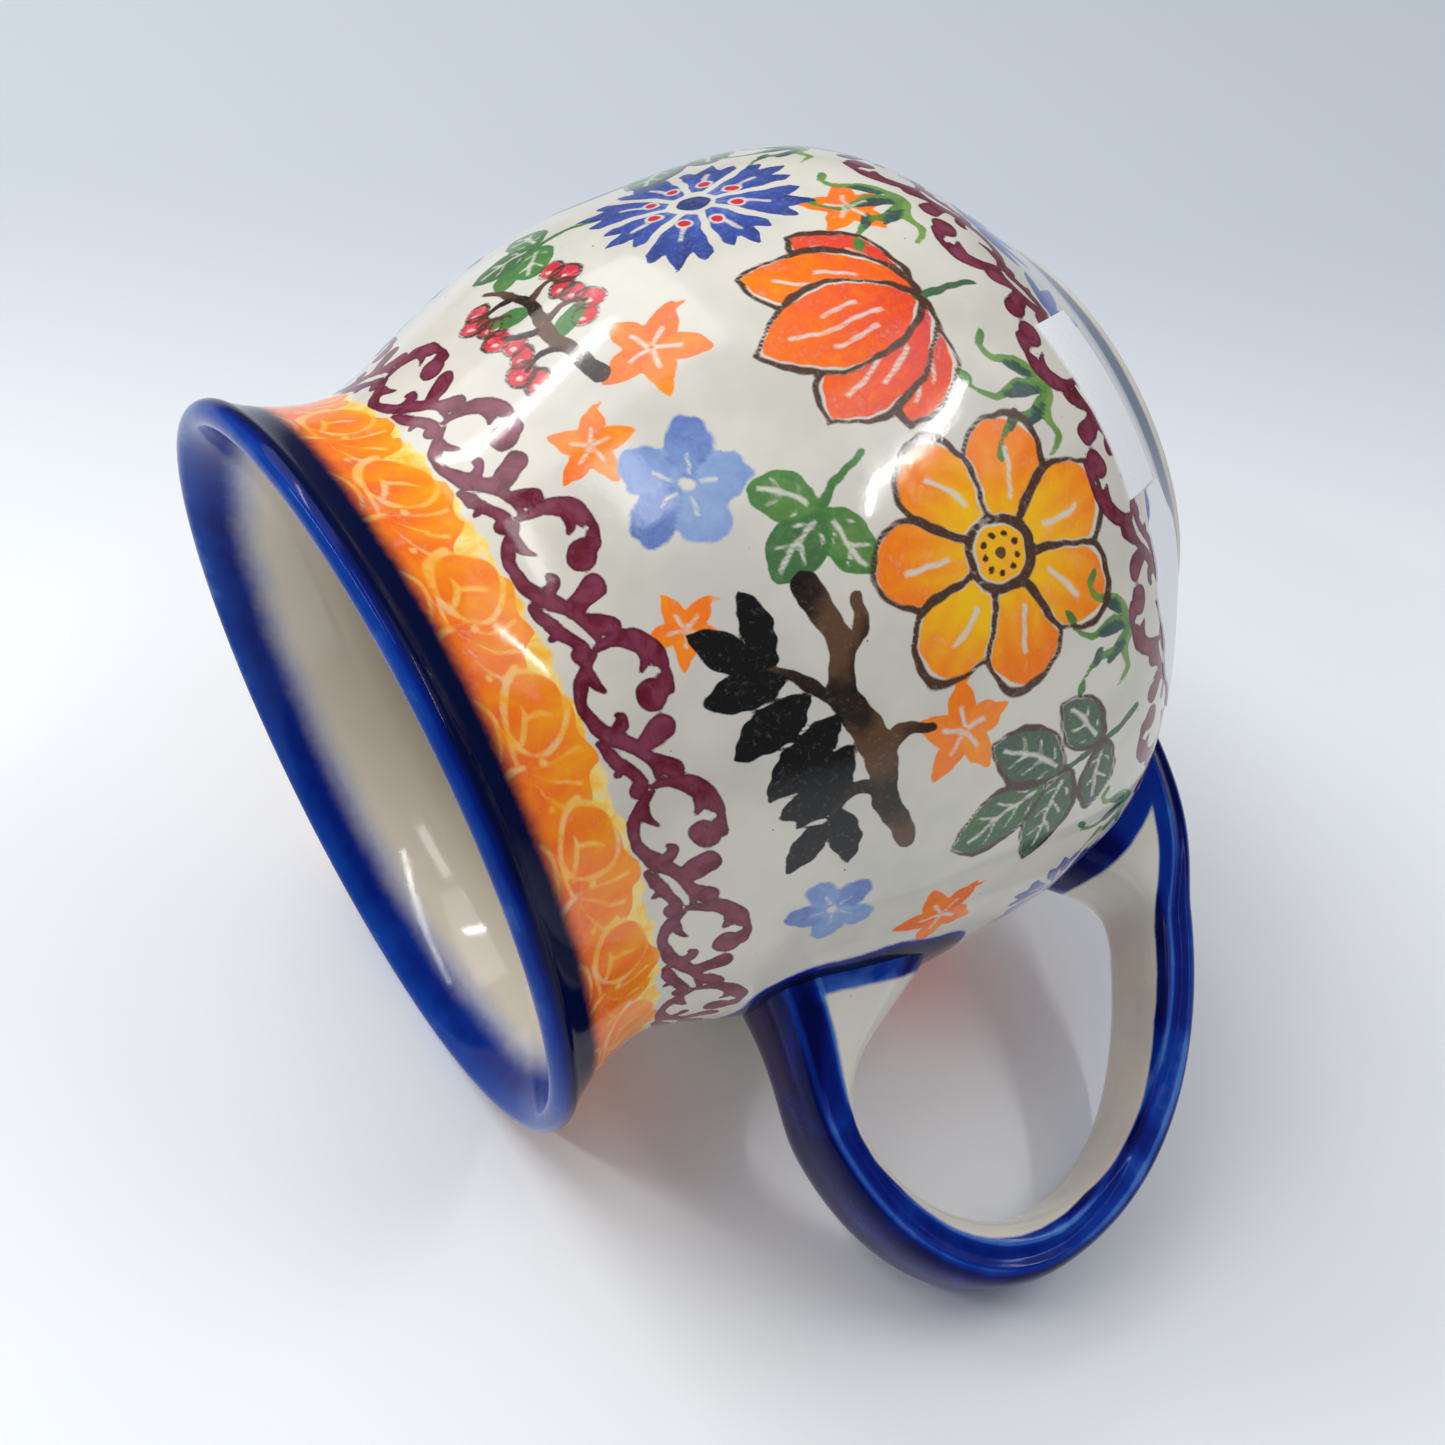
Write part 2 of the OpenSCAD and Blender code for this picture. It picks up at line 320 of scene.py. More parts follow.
def latheMesh(name):
    turn = np.linspace(-math.pi, math.pi, sides, endpoint=False)
    count = len(rows)
    co = np.empty((count, sides, 3))
    co[..., 0] = rows[:, 0, None] * np.cos(turn)
    co[..., 1] = rows[:, 0, None] * np.sin(turn)
    co[..., 2] = rows[:, 1, None]
    co = np.vstack([co.reshape(-1, 3), [(0, 0, rows[0, 1]), (0, 0, rows[-1, 1])]]) * mm
    i, j = np.meshgrid(np.arange(count - 1), np.arange(sides), indexing="ij")
    k = (j + 1) % sides
    quads = np.stack([i * sides + j, i * sides + k, (i + 1) * sides + k, (i + 1) * sides + j], -1)
    ring, nextOne = np.arange(sides), (np.arange(sides) + 1) % sides
    bottom = np.stack([np.full(sides, count * sides), nextOne, ring], 1)
    last = (count - 1) * sides
    top = np.stack([np.full(sides, count * sides + 1), last + ring, last + nextOne], 1)
    mesh = bpy.data.meshes.new(name)
    mesh.from_pydata(co, [], quads.reshape(-1, 4).tolist() + bottom.tolist() + top.tolist())
    mesh.polygons.foreach_set("use_smooth", [True] * len(mesh.polygons))
    # one flat sheet: round the mug across, along the wall upwards, most of it for the painted outside
    steps = np.hypot(*np.diff(rows, axis=0).T)
    steps[:firstPainted] *= 0.6
    steps[firstInside:] *= 0.55
    up = np.r_[0, np.cumsum(steps)]
    margin = 0.02
    up = margin + (1 - 2 * margin) * up / up[-1]
    a, b, half = j / sides, (j + 1) / sides, (ring + 0.5) / sides
    left, right = ring / sides, (ring + 1) / sides
    storeSheet(mesh,
               [np.stack([a, b, b, a], -1).reshape(-1), np.stack([half, right, left], 1).reshape(-1),
                np.stack([half, left, right], 1).reshape(-1)],
               [np.stack([up[i], up[i], up[i + 1], up[i + 1]], -1).reshape(-1),
                np.tile([0.0, margin, margin], sides), np.tile([1.0, 1 - margin, 1 - margin], sides)])
    mesh.validate()
    return mesh, turn


bodyMesh, turnOfSide = latheMesh("mugBodyPainted")
print("body thrown,", len(bodyMesh.polygons), "faces")


# brush work: every paint field is a distance in millimetres, below 0 inside the paint
paint = {}
turnOf = np.r_[np.tile(turnOfSide, len(rows)), 0, 0]
climbOf = np.r_[np.repeat(climbOfRow, sides), -60, climbOfRow[-1] + 2]
radiusOf = np.r_[np.repeat(rows[:, 0], sides), 1, 1]
onWall = radiusOf > 25
for paintName in ("ground", "bloom", "leaf", "blue", "twig", "plum",
                  "collar", "mouth", "joint", "edge", "fold", "seed"):
    paint[paintName] = np.full(len(turnOf), 9.0)
toneOf = {"bloom": "warmth", "leaf": "leafTone", "blue": "blueTone", "twig": "twigTone"}
for toneName in toneOf.values():
    paint[toneName] = np.zeros(len(turnOf))


def wrap(angle):
    return (angle + math.pi) % (2 * math.pi) - math.pi


def turned(x, y, degrees):
    # a point read along and across a line at this angle
    c, s = math.cos(math.radians(degrees)), math.sin(math.radians(degrees))
    return c * x + s * y, c * y - s * x


def inAll(*shapes):
    return np.maximum.reduce(shapes)


def brush(name, where, distance):
    paint[name][where] = np.minimum(paint[name][where], distance)


class Spot:
    # a patch of wall round a point, with its own flat x and y in millimetres
    def __init__(self, turn, height, reach, tilt, size, wobble=0.16):
        across = wrap(turnOf - math.radians(turn)) * radiusOf
        up = climbOf - climbAt(height)
        self.where = np.flatnonzero((np.abs(across) < reach * size) & (np.abs(up) < reach * size) & onWall)
        x, y = (way / size for way in turned(across[self.where], up[self.where], tilt))
        self.seed = seed = turn * 0.37 + height
        self.x = x + wobble * (np.sin(0.8 * y + seed) + 0.5 * np.sin(2.3 * y + 1.1 * x + 2 * seed))
        self.y = y + wobble * (np.sin(0.9 * x + 2.1 * seed) + 0.5 * np.sin(2.1 * x - 1.3 * y + seed))
        self.size = size

    def lay(self, name, distance, tone=None):
        # each place takes the tone of the stroke that covers it most
        distance = distance * self.size
        if tone is not None:
            tones = paint[toneOf[name]]
            closer = distance < np.minimum(paint[name][self.where], 1.5)
            tones[self.where] = np.where(closer, tone, tones[self.where])
        brush(name, self.where, distance)

    def line(self, distance, half=0.34):
        # an outline of uneven width runs where this distance passes 0
        half = half * (1 + 0.35 * np.sin(0.31 * self.x + 0.43 * self.y + self.seed))
        brush("edge", self.where, np.abs(distance * self.size) - half)


def smoothLine(points, widths):
    parts = 5
    p = np.array(points, float)
    p = np.vstack([2 * p[0] - p[1], p, 2 * p[-1] - p[-2]])
    line, wide = [], []
    for k in range(1, len(p) - 2):
        for t in np.linspace(0, 1, parts, endpoint=False):
            line.append(0.5 * ((2 * p[k]) + (p[k + 1] - p[k - 1]) * t
                               + (2 * p[k - 1] - 5 * p[k] + 4 * p[k + 1] - p[k + 2]) * t * t
                               + (3 * p[k] - p[k - 1] - 3 * p[k + 1] + p[k + 2]) * t ** 3))
            wide.append(widths[k - 1] + (widths[k] - widths[k - 1]) * t)
    return line + [p[-2]], wide + [widths[-1]]


def stroke(x, y, points, widths):
    # a brush stroke through the points, with its half width at each
    line, wide = smoothLine(points, widths)
    best = np.full(x.shape, 99.0)
    for a, b, wa, wb in zip(line[:-1], line[1:], wide[:-1], wide[1:]):
        d = b - a
        h = np.clip(((x - a[0]) * d[0] + (y - a[1]) * d[1]) / (d @ d + 1e-9), 0, 1)
        best = np.minimum(best, np.hypot(x - a[0] - h * d[0], y - a[1] - h * d[1]) - (wa + h * (wb - wa)))
    return best


def dot(x, y, cx, cy, r):
    return np.hypot(x - cx, y - cy) - r


def oval(x, y, cx, cy, a, b, tilt=0.0):
    u, v = turned(x - cx, y - cy, tilt)
    u, v = u / a, v / b
    k = np.hypot(u, v)
    return k * (k - 1) / (np.hypot(u / a, v / b) + 1e-6)


def blade(x, y, bx, by, angle, length, width):
    # a pointed leaf from its base, along an angle
    u, v = turned(x - bx, y - by, angle)
    r = (length * length / 4 + width * width) / (2 * width)
    return np.hypot(u - length / 2, np.abs(v) + r - width) - r


def polar(x, y, parts, start=0.0):
    r, a = np.hypot(x, y), np.arctan2(y, x) - math.radians(start)
    step = 2 * math.pi / parts
    return r, (a + step / 2) % step - step / 2, np.floor((a + step / 2) / step) % parts


# how often each border repeats, where it starts and how high it runs
borders = {
    # count, turn of the first, height, scale, which way up, and how low and how high a stroke may reach
    "shoulderScrolls": (17, -104.1, 79.6, 1.0, 1, 70.0, 88.5),
    "footScrolls": (19, -90.5, 19.6, 0.9, -1, 11.0, 26.0),
    "neckBlooms": 18, "neckTurn": -103.5, "neckHeight": 89.6, "neckFoot": 85.0,
    "fans": 19, "fanTurn": -84.0, "fanHeight": 15.4,
}


def unroll(count, turn, low, high, radius):
    where = np.flatnonzero((climbOf > climbAt(low)) & (climbOf < high) & onWall)
    step = 2 * math.pi / count
    a = turnOf[where] - math.radians(turn)
    which = np.round(a / step)
    return where, (a - which * step) * radius, climbOf[where], which, step * radius


# the strokes of one scroll, each as its points and its half widths
scroll = (
    ([(-11.5, 1.0), (-9.9, 0.5), (-7.4, 1.5), (-5.2, 3.1), (-3.2, 4.25), (-0.9, 4.75), (1.0, 4.2),
      (2.4, 3.0), (3.4, 1.5)], [0.2, 0.6, 0.8, 0.85, 0.65, 0.45, 0.62, 0.5, 0.12]),
    ([(-4.7, 3.0), (-4.3, 1.9), (-3.6, 1.4), (-3.15, 1.75)], [0.5, 0.55, 0.42, 0.18]),
    ([(2.2, 3.0), (0.7, 2.7), (-0.5, 1.95)], [0.6, 0.38, 0.06]),
    ([(3.85, 1.2), (3.65, -0.8), (2.9, -2.6), (1.2, -4.0), (-0.9, -4.5), (-2.7, -4.0)],
     [0.18, 0.5, 0.9, 1.0, 0.55, 0.7]),
    ([(1.4, -3.2), (0.4, -2.9), (-0.3, -2.2)], [0.6, 0.4, 0.06]),
    ([(-9.2, 0.6), (-9.9, -0.5), (-10.55, -1.45)], [0.8, 0.9, 0.85]),
    ([(-7.3, 1.2), (-6.6, -0.7), (-6.15, -1.95)], [0.8, 1.05, 1.15]),
    ([(-5.3, 4.75), (-6.8, 4.25), (-8.2, 3.65), (-9.4, 2.95), (-10.8, 2.35), (-11.5, 2.85)],
     [0.28, 0.6, 0.6, 0.5, 0.55, 0.85]),
    ([(-8.5, 3.6), (-8.9, 4.5)], [0.4, 0.22]),
)
scrollGap = ([(-12.3, 1.65), (-10.9, 1.2), (-9.1, 1.6), (-7.6, 2.5), (-5.9, 3.75)],
             [0.25, 0.3, 0.33, 0.33, 0.06])


def scrollUnit(x, y):
    d = np.minimum.reduce([stroke(x, y, *one) for one in scroll] + [dot(x, y, -2.85, -2.35, 1.5)]) - 0.2
    d = np.maximum(d, -dot(x, y, -0.95, -3.85, 0.36))
    return np.maximum(d, -stroke(x, y, *scrollGap))


def paintScrolls(count, turn, height, scale, flip, low, high):
    where, x, climb, which, pitch = unroll(count, turn, low, climbAt(high), 42.0)
    y = (climb - climbAt(height)) * flip / scale
    x = x * flip / scale
    seed = which * 1.7
    y = y + 0.16 * np.sin(0.55 * x + seed) + 0.07 * np.sin(1.9 * x + 2.3 * seed)
    x = x + 0.16 * np.sin(0.6 * y + 1.3 * seed) + 0.07 * np.sin(2.1 * y + seed)
    d = np.minimum.reduce([scrollUnit(x + shift * pitch / scale, y) for shift in (-1, 0, 1)]) * scale
    brush("plum", where, d)


# pale strokes inside each bloom of the neck
neckFolds = (
    ([(-2.4, 3.0), (-1.2, 1.9), (0.3, 1.0), (1.5, 0.9)], [0.1, 0.34, 0.34, 0.1]),
    ([(-1.0, -2.2), (-0.2, -0.9), (0.2, 0.6)], [0.1, 0.3, 0.26]),
    ([(-3.4, 3.9), (-1.0, 3.7), (1.9, 2.9), (4.2, 1.2), (4.9, -0.6)], [0.2, 0.26, 0.34, 0.42, 0.5]),
    ([(-4.4, 6.5), (-3.9, 4.9), (-3.9, 3.4)], [0.3, 0.38, 0.2]),
    ([(3.4, 5.6), (1.6, 4.6), (-0.6, 4.7), (-2.6, 5.6)], [0.24, 0.3, 0.26, 0.16]),
)


def paintNeck():
    b = borders
    where, x, climb, which, pitch = unroll(b["neckBlooms"], b["neckTurn"], 82.0, climbAt(98.5), 42.0)
    base = climbAt(b["neckFoot"])
    y = climb - climbAt(b["neckHeight"])
    torn = 0.3 * np.sin(0.9 * x + which) + 0.2 * np.sin(2.3 * x + 2 * which)
    brush("ground", where, base + torn - climb)
    x = x + 0.25 * np.sin(0.7 * y + which * 2.1)
    y = y + 0.25 * np.sin(0.6 * x + which * 1.3)
    best, lines, tone = np.full(x.shape, 9.0), np.full(x.shape, 9.0), np.zeros(x.shape)
    for shift in (-1, 0, 1):
        px = x + shift * pitch
        # a round bloom with pale folds, and a fan of petals beside it
        bloom = oval(px, y, 0.3, -0.3, 4.1, 3.7, 15)
        r, a = np.hypot(px + 3.9, y - 3.9), np.degrees(np.arctan2(y - 3.9, px + 3.9))
        fan = np.maximum(r - 8.6 - 0.5 * np.sin(a * 0.16 + which), np.maximum(a + 58, -172 - a) * 0.1)
        best = np.minimum(best, np.minimum(bloom, fan))
        rays = np.abs((a + 62 + 5 * np.sin(0.5 * r)) % 27 - 13.5) * r * 0.01745 - 0.05 * r + 0.1
        rays = inAll(rays, np.maximum(a + 75, -165 - a) * 0.1, r - 7.6)
        lines = np.minimum(lines, np.maximum(rays, -bloom - 0.2))
        lines = np.minimum(lines, np.abs(bloom - 0.1) - 0.24 - 0.12 * np.sin(px + y + which))
        for points, widths in neckFolds:
            lines = np.minimum(lines, stroke(px, y, points, widths))
        for cx, cy, size in ((4.6, -3.6, 0.55), (-4.4, 1.0, 0.45), (5.4, 2.6, 0.4)):
            lines = np.minimum(lines, dot(px, y, cx, cy, size))
        tone = np.where(np.abs(bloom) < 3.6, tone + 0.05 * np.sin(1.3 * px + which), tone)
    best = np.minimum(best, 1.6 + 0.5 * np.sin(1.7 * x + which) - y)
    brush("bloom", where, np.maximum(best, base - climb - 0.4))
    brush("fold", where, np.maximum(lines, base - climb - 0.2))
    paint["warmth"][where] = np.where(best < 1.0, 0.44 + tone + 0.02 * y, paint["warmth"][where])


def paintFoot():
    b = borders
    where, x, climb, which, pitch = unroll(b["fans"], b["fanTurn"], 1.0, climbAt(18.5), 40.0)
    y = climb - climbAt(b["fanHeight"])
    x = x + 0.2 * np.sin(0.9 * y + which)
    best, tone = np.full(x.shape, 9.0), np.zeros(x.shape)
    petals = ((-156, 7.0, 1.1), (-126, 8.6, 1.2), (-94, 9.6, 1.25), (-62, 8.8, 1.2), (-30, 6.8, 1.0))
    for k, (angle, length, width) in enumerate(petals):
        d = blade(x, y, 0.25 * (k - 2), 0.0, angle, length, width)
        tone = np.where(d < best, 0.56 + 0.12 * np.sin(k * 2.0 + which), tone)
        best = np.minimum(best, d)
    brush("blue", where, best)
    paint["blueTone"][where] = np.where(best < 1.0, tone, paint["blueTone"][where])


paintScrolls(*borders["shoulderScrolls"])
paintScrolls(*borders["footScrolls"])
paintNeck()
paintFoot()
print("borders painted")


def roundBloom(turn, height, size, tilt, petals, inner, outer):
    # petals round a seeded heart, each outlined with a pale gap inside the line
    s = Spot(turn, height, 17.5, tilt, size)
    r, a, which = polar(s.x, s.y, petals, 12)
    side = 0.62 * 15 * math.tan(math.pi / petals) * 1.02
    u, v = r * np.cos(a) - 9.3, r * np.sin(a)
    petal = (np.hypot(u / (5.5 + 0.5 * np.sin(which * 3.1)), v / side) - 1) * np.minimum(5.5, side) * 0.9
    ray = r * np.sin(math.pi / petals - np.abs(a))
    fill = inAll(petal, 0.5 - ray, 4.4 - r)
    share = (r - 4) / 10 + 0.25 * np.sin(which * 2.4) + 0.12 * np.sin(v * 2.2)
    tone = inner + (outer - inner) * np.clip(share, 0, 1)
    s.lay("bloom", fill, tone)
    s.lay("fold", inAll(np.abs(v + 0.9 * np.sin(0.3 * r + which)) - 0.3, 6.2 - r, r - 11.5))
    apart = 0.25 + 0.55 * np.clip(np.sin(0.36 * s.x + 0.5 * s.y + turn), 0, 1)
    s.line(inAll(petal - apart, 0.1 - ray, 4.0 - r))
    s.lay("bloom", dot(s.x, s.y, 0, 0, 3.1), 0.1)
    s.line(dot(s.x, s.y, 0, 0, 3.6))
    rr, aa, _ = polar(s.x, s.y, 9)
    s.lay("twig", np.hypot(rr * np.cos(aa) - 2.1, rr * np.sin(aa)) - 0.42, 0.4)
    s.lay("twig", dot(s.x, s.y, 0, 0, 0.7), 0.2)


def tulip(turn, height, size, tilt):
    # five petals from the front one to the outer ones, each partly behind those drawn before it
    s = Spot(turn, height, 19, tilt, size)
    x, y = s.x, s.y
    tip, root = 0.55, 0.72
    drawn = None
    petals = ((0, -8.5, 90, 21, 5.6), (-1.0, -9.0, 118, 21, 5.0), (1.0, -9.0, 62, 21, 5.0),
              (-2.2, -8.0, 146, 15, 4.0), (2.2, -8.0, 34, 15, 4.0))
    for k, (bx, by, angle, length, width) in enumerate(petals):
        inside = blade(x, y, bx, by, angle, length, width)
        petal = inside - 0.3 - 0.5 * np.clip(np.sin(0.4 * x - 0.3 * y + k), 0, 1)
        seen = petal if drawn is None else np.maximum(petal, -drawn)
        fill = inside if drawn is None else np.maximum(inside, 0.25 - drawn)
        tone = np.clip(root - (root - tip) * (y + 9) / 18 + 0.08 * math.sin(k * 2.2), 0, 1)
        s.lay("bloom", fill, tone)
        along, across = turned(x - bx, y - by, angle)
        for offset, first, last in ((0.0, 0.22, 0.82), (0.42 * width, 0.3, 0.62), (-0.4 * width, 0.34, 0.58)):
            curve = offset * np.sin(np.clip(along / length, 0, 1) * 3.1) - 0.3 * np.sin(0.4 * along)
            vein = inAll(np.abs(across - curve) - 0.26, first * length - along, along - last * length)
            s.lay("fold", np.maximum(vein, fill))
        s.line(seen)
        drawn = petal if drawn is None else np.minimum(drawn, petal)
    s.lay("leaf", stroke(x, y, [(0, -8.8), (0.4, -12.5), (0.1, -17)], [0.7, 0.5, 0.4]), 0.75)


def leafShape(s, bx, by, angle, length, width, tone, outlined):
    # a leaf with a pale rib and pale barbs
    leaf = blade(s.x, s.y, bx, by, angle, length, width)
    along, across = turned(s.x - bx, s.y - by, angle)
    side = np.abs(across)
    rib = inAll(np.abs(across + 0.35 * np.sin(0.35 * along)) - 0.27, 1.4 - along, along - 0.86 * length)
    barb = np.abs(((along - 0.9 * side) % 3.0) - 1.5) - 0.24
    barb = inAll(barb, side - 0.6 * width, 2.4 - along, along - 0.72 * length)
    s.lay("leaf", leaf + (0.1 if outlined else 0), tone + 0.12 * math.sin(angle))
    s.lay("fold", np.minimum(rib, barb))
    if outlined:
        s.line(leaf - 0.15, 0.3)


def leafSpray(turn, height, size, tilt, tone):
    s = Spot(turn, height, 18, tilt, size)
    s.lay("leaf", stroke(s.x, s.y, [(0.5, -15), (0, -8), (0.6, 0), (0, 4)], [0.6, 0.5, 0.45, 0.35]), tone)
    for leaf in ((0, 0.5, 92, 14, 3.9), (0.4, -2.5, 38, 13, 3.6), (-0.2, -3.0, 144, 13, 3.6),
                 (0.2, -8.5, 22, 10, 2.8), (-0.2, -9.0, 160, 10, 2.8)):
        leafShape(s, *leaf, tone, True)


def leafTrio(turn, height, size, tilt, tone):
    s = Spot(turn, height, 12, tilt, size)
    s.lay("leaf", stroke(s.x, s.y, [(0, -1), (0.5, -5.5), (-0.4, -9.5)], [0.6, 0.5, 0.4]), tone)
    for leaf in ((0, -1.2, 90, 9.6, 3.3), (0.3, -1.4, 18, 8.6, 2.9), (-0.3, -1.4, 162, 8.6, 2.9)):
        leafShape(s, *leaf, tone, False)


def cornflower(turn, height, size, tilt, tone):
    # eight notched rays with pale lines, round a dark heart and red seeds
    petals = 8
    s = Spot(turn, height, 14, tilt, size)
    r, a, which = polar(s.x, s.y, petals, 5)
    tooth = np.abs((a * petals / (2 * math.pi) * 3 + 0.5) % 1 - 0.5) * 2
    reach = 9.2 + 3.0 * (1 - tooth) * np.cos(a * petals / 2) + 0.9 * np.sin(which * 2.6)
    ray = r * np.sin(math.pi / petals - np.abs(a))
    s.lay("blue", inAll((r - reach) * 0.8, 0.28 + 0.035 * r - ray, 2.5 + 0.3 * np.sin(which) - r),
          np.clip(tone + 0.04 * (r - 6) + 0.07 * np.sin(a * 21), 0, 1))
    s.lay("fold", inAll(np.abs(r * np.sin(a)) - 0.24, 4.8 - r, r - 8.0))
    s.lay("blue", dot(s.x, s.y, 0, 0, 1.7), min(1.0, tone + 0.3))
    rr, aa, _ = polar(s.x, s.y, petals)
    seed = np.hypot(rr * np.cos(aa) - 4.6, rr * np.sin(aa))
    s.lay("fold", seed - 0.95)
    s.lay("seed", seed - 0.66)


def paleBloom(turn, height, size, tilt):
    # five watery lobes with soft edges and a bare heart
    s = Spot(turn, height, 10, tilt, size, 0.28)
    r, a, which = polar(s.x, s.y, 5, 20)
    lobe = oval(r * np.cos(a), r * np.sin(a), 4.6, 0, 4.0 + 0.5 * np.sin(which * 2), 3.1, 6)
    tone = 0.08 + 0.12 * np.sin(which * 1.9) + 0.02 * r
    s.lay("blue", np.maximum(np.minimum(lobe, r - 3.4), 0.9 - r) * 0.42, tone)
    s.lay("fold", inAll(np.abs(r * np.sin(a)) - 0.22, 1.6 - r, r - 4.2))


# the bough's brown branches, and its black leaves as base, angle, length and width
boughBranches = (
    ([(3.4, -19), (2.4, -12), (3.6, -5), (2.4, 2), (4.8, 9), (4.2, 15.5)], [1.3, 1.7, 2.1, 1.8, 1.5, 1.8]),
    ([(3.2, -7), (7.2, -5.0), (10.5, -6.5)], [1.3, 1.0, 0.6]),
    ([(3.6, 6), (7.6, 8.5), (9.0, 12.0)], [1.0, 0.9, 0.7]),
    ([(2.4, 1), (-0.8, 5.5), (-3.6, 9.0)], [1.0, 0.8, 0.5]),
    ([(2.6, -10), (-1.6, -9.0), (-5.0, -11.5)], [1.1, 0.8, 0.4]),
)
boughLeaves = (
    (-3.4, 8.6, 84, 10, 2.0), (-3.8, 8.4, 128, 10.5, 2.3), (-2.8, 7.2, 172, 10, 2.3),
    (-0.6, 4.4, 196, 12, 2.6), (1.0, 0.6, 208, 13, 2.7), (1.2, -3.4, 216, 12, 2.6),
    (-1.4, -8.6, 176, 9, 2.0), (-4.6, -11.2, 214, 8.5, 1.9), (-3.0, -10.0, 262, 8.5, 2.0),
)


def darkBough(turn, height, size, tilt):
    s = Spot(turn, height, 22, tilt, size)
    bark = np.clip(0.36 + 0.34 * np.sin(0.45 * s.y + np.sin(0.5 * s.x)), 0, 0.62)
    for branch in boughBranches:
        s.lay("twig", stroke(s.x, s.y, *branch), bark)
    for leaf in boughLeaves:
        s.lay("twig", blade(s.x, s.y, *leaf) + 0.1 * np.sin(1.9 * s.x + 2.3 * s.y), 1.0)


def berryTwig(turn, height, size, tilt):
    # a brown twig with three berries at the tip of each shoot
    s = Spot(turn, height, 20, tilt, size)
    x, y = s.x, s.y
    main = stroke(x, y, [(-16, -3.5), (-10, -1.6), (-4, 0.4), (2, 0.2), (8, 2.0), (14, 5.0)],
                  [1.5, 1.1, 1.25, 1.0, 0.8, 0.35])
    s.lay("twig", main, np.clip(0.35 + 0.3 * np.sin(x * 0.35), 0, 1))
    tips = (((-9, -1.4), (-7.5, 2.2), (-8.6, 5.6)), ((-3.5, 0.4), (-2.2, 3.8), (0.2, 6.2)),
            ((-2, 0.2), (-0.6, -3.6), (-2.2, -6.4)), ((4, 0.6), (6.2, -2.4), (6.0, -5.4)),
            ((7, 1.6), (8, 5.0), (7.0, 8.0)))
    for base, knee, tip in tips:
        shoot = stroke(x, y, [base, knee, tip], [0.75, 0.55, 0.4])
        s.lay("twig", shoot, np.clip(0.4 + 0.3 * np.sin(y * 0.5), 0, 1))
        for ox, oy, r in ((0, 0.8, 2.1), (-2.9, -0.9, 1.8), (2.8, -0.6, 1.75)):
            cx, cy = tip[0] + ox, tip[1] + oy * (1 if tip[1] > 0 else -1)
            s.lay("bloom", dot(x, y, cx, cy, r), 0.86)
            s.lay("fold", oval(x, y, cx - 0.5, cy + 0.5, 0.62, 0.34, 40))
            s.line(dot(x, y, cx, cy, r + 0.15), 0.2)
    for bx, by, angle in ((-6, 0.2, -62), (10.5, 3.2, -30), (1.5, 0.6, 64)):
        s.lay("leaf", blade(x, y, bx, by, angle, 7.4, 1.9), 0.45)


def starFlower(turn, height, size, tilt, tone):
    s = Spot(turn, height, 8, tilt, size, 0.14)
    r, a, which = polar(s.x, s.y, 5)
    petal = oval(r * np.cos(a), r * np.sin(a), 2.7, 0, 2.6 + 0.3 * np.sin(which * 2.2), 1.75)
    petal = np.minimum(petal, blade(r * np.cos(a), r * np.sin(a), 2.0, 0, 0, 4.4, 1.0))
    s.lay("bloom", petal, tone + 0.05 * np.sin(which * 2))
    s.lay("fold", inAll(np.abs(r * np.sin(a)) - 0.24, 0.3 - r, r - 2.9))
    s.lay("bloom", stroke(s.x, s.y, [(0.6, -3), (1.4, -4.8), (0.9, -6.6)], [0.4, 0.36, 0.24]), tone)


def sprig(turn, height, size, tilt):
    # curling green shoots with a darker tuft at their foot
    s = Spot(turn, height, 14, tilt, size)
    for points, tone in (
            ([(0, -5.5), (1.6, -1.0), (1.0, 3.5), (3.6, 7.0)], 0.3),
            ([(0.6, -5.5), (4.6, -2.6), (6.4, 1.0), (9.6, 2.2)], 0.2),
            ([(-0.6, -5.5), (-3.8, -3.2), (-7.2, -3.6), (-9.8, -0.8)], 0.15),
            ([(-0.4, -5.5), (-3.2, -0.8), (-3.0, 3.0), (-5.6, 6.2)], 0.35)):
        s.lay("leaf", stroke(s.x, s.y, points, [0.9, 0.75, 0.6, 0.3]), tone)
    for *leaf, tone in (
            (-1.8, -4.4, 118, 6.5, 1.2, 0.95), (0.2, -5.2, 84, 8.0, 1.4, 1.0), (1.8, -4.6, 50, 6.5, 1.2, 0.9),
            (3.6, 6.4, 20, 3.4, 0.8, 0.4), (-5.4, 5.8, 150, 3.4, 0.8, 0.4), (8.6, 2.0, -30, 3.0, 0.8, 0.3),
            (-1.2, 1.6, 140, 4.2, 0.9, 0.9)):
        s.lay("leaf", blade(s.x, s.y, *leaf), tone)


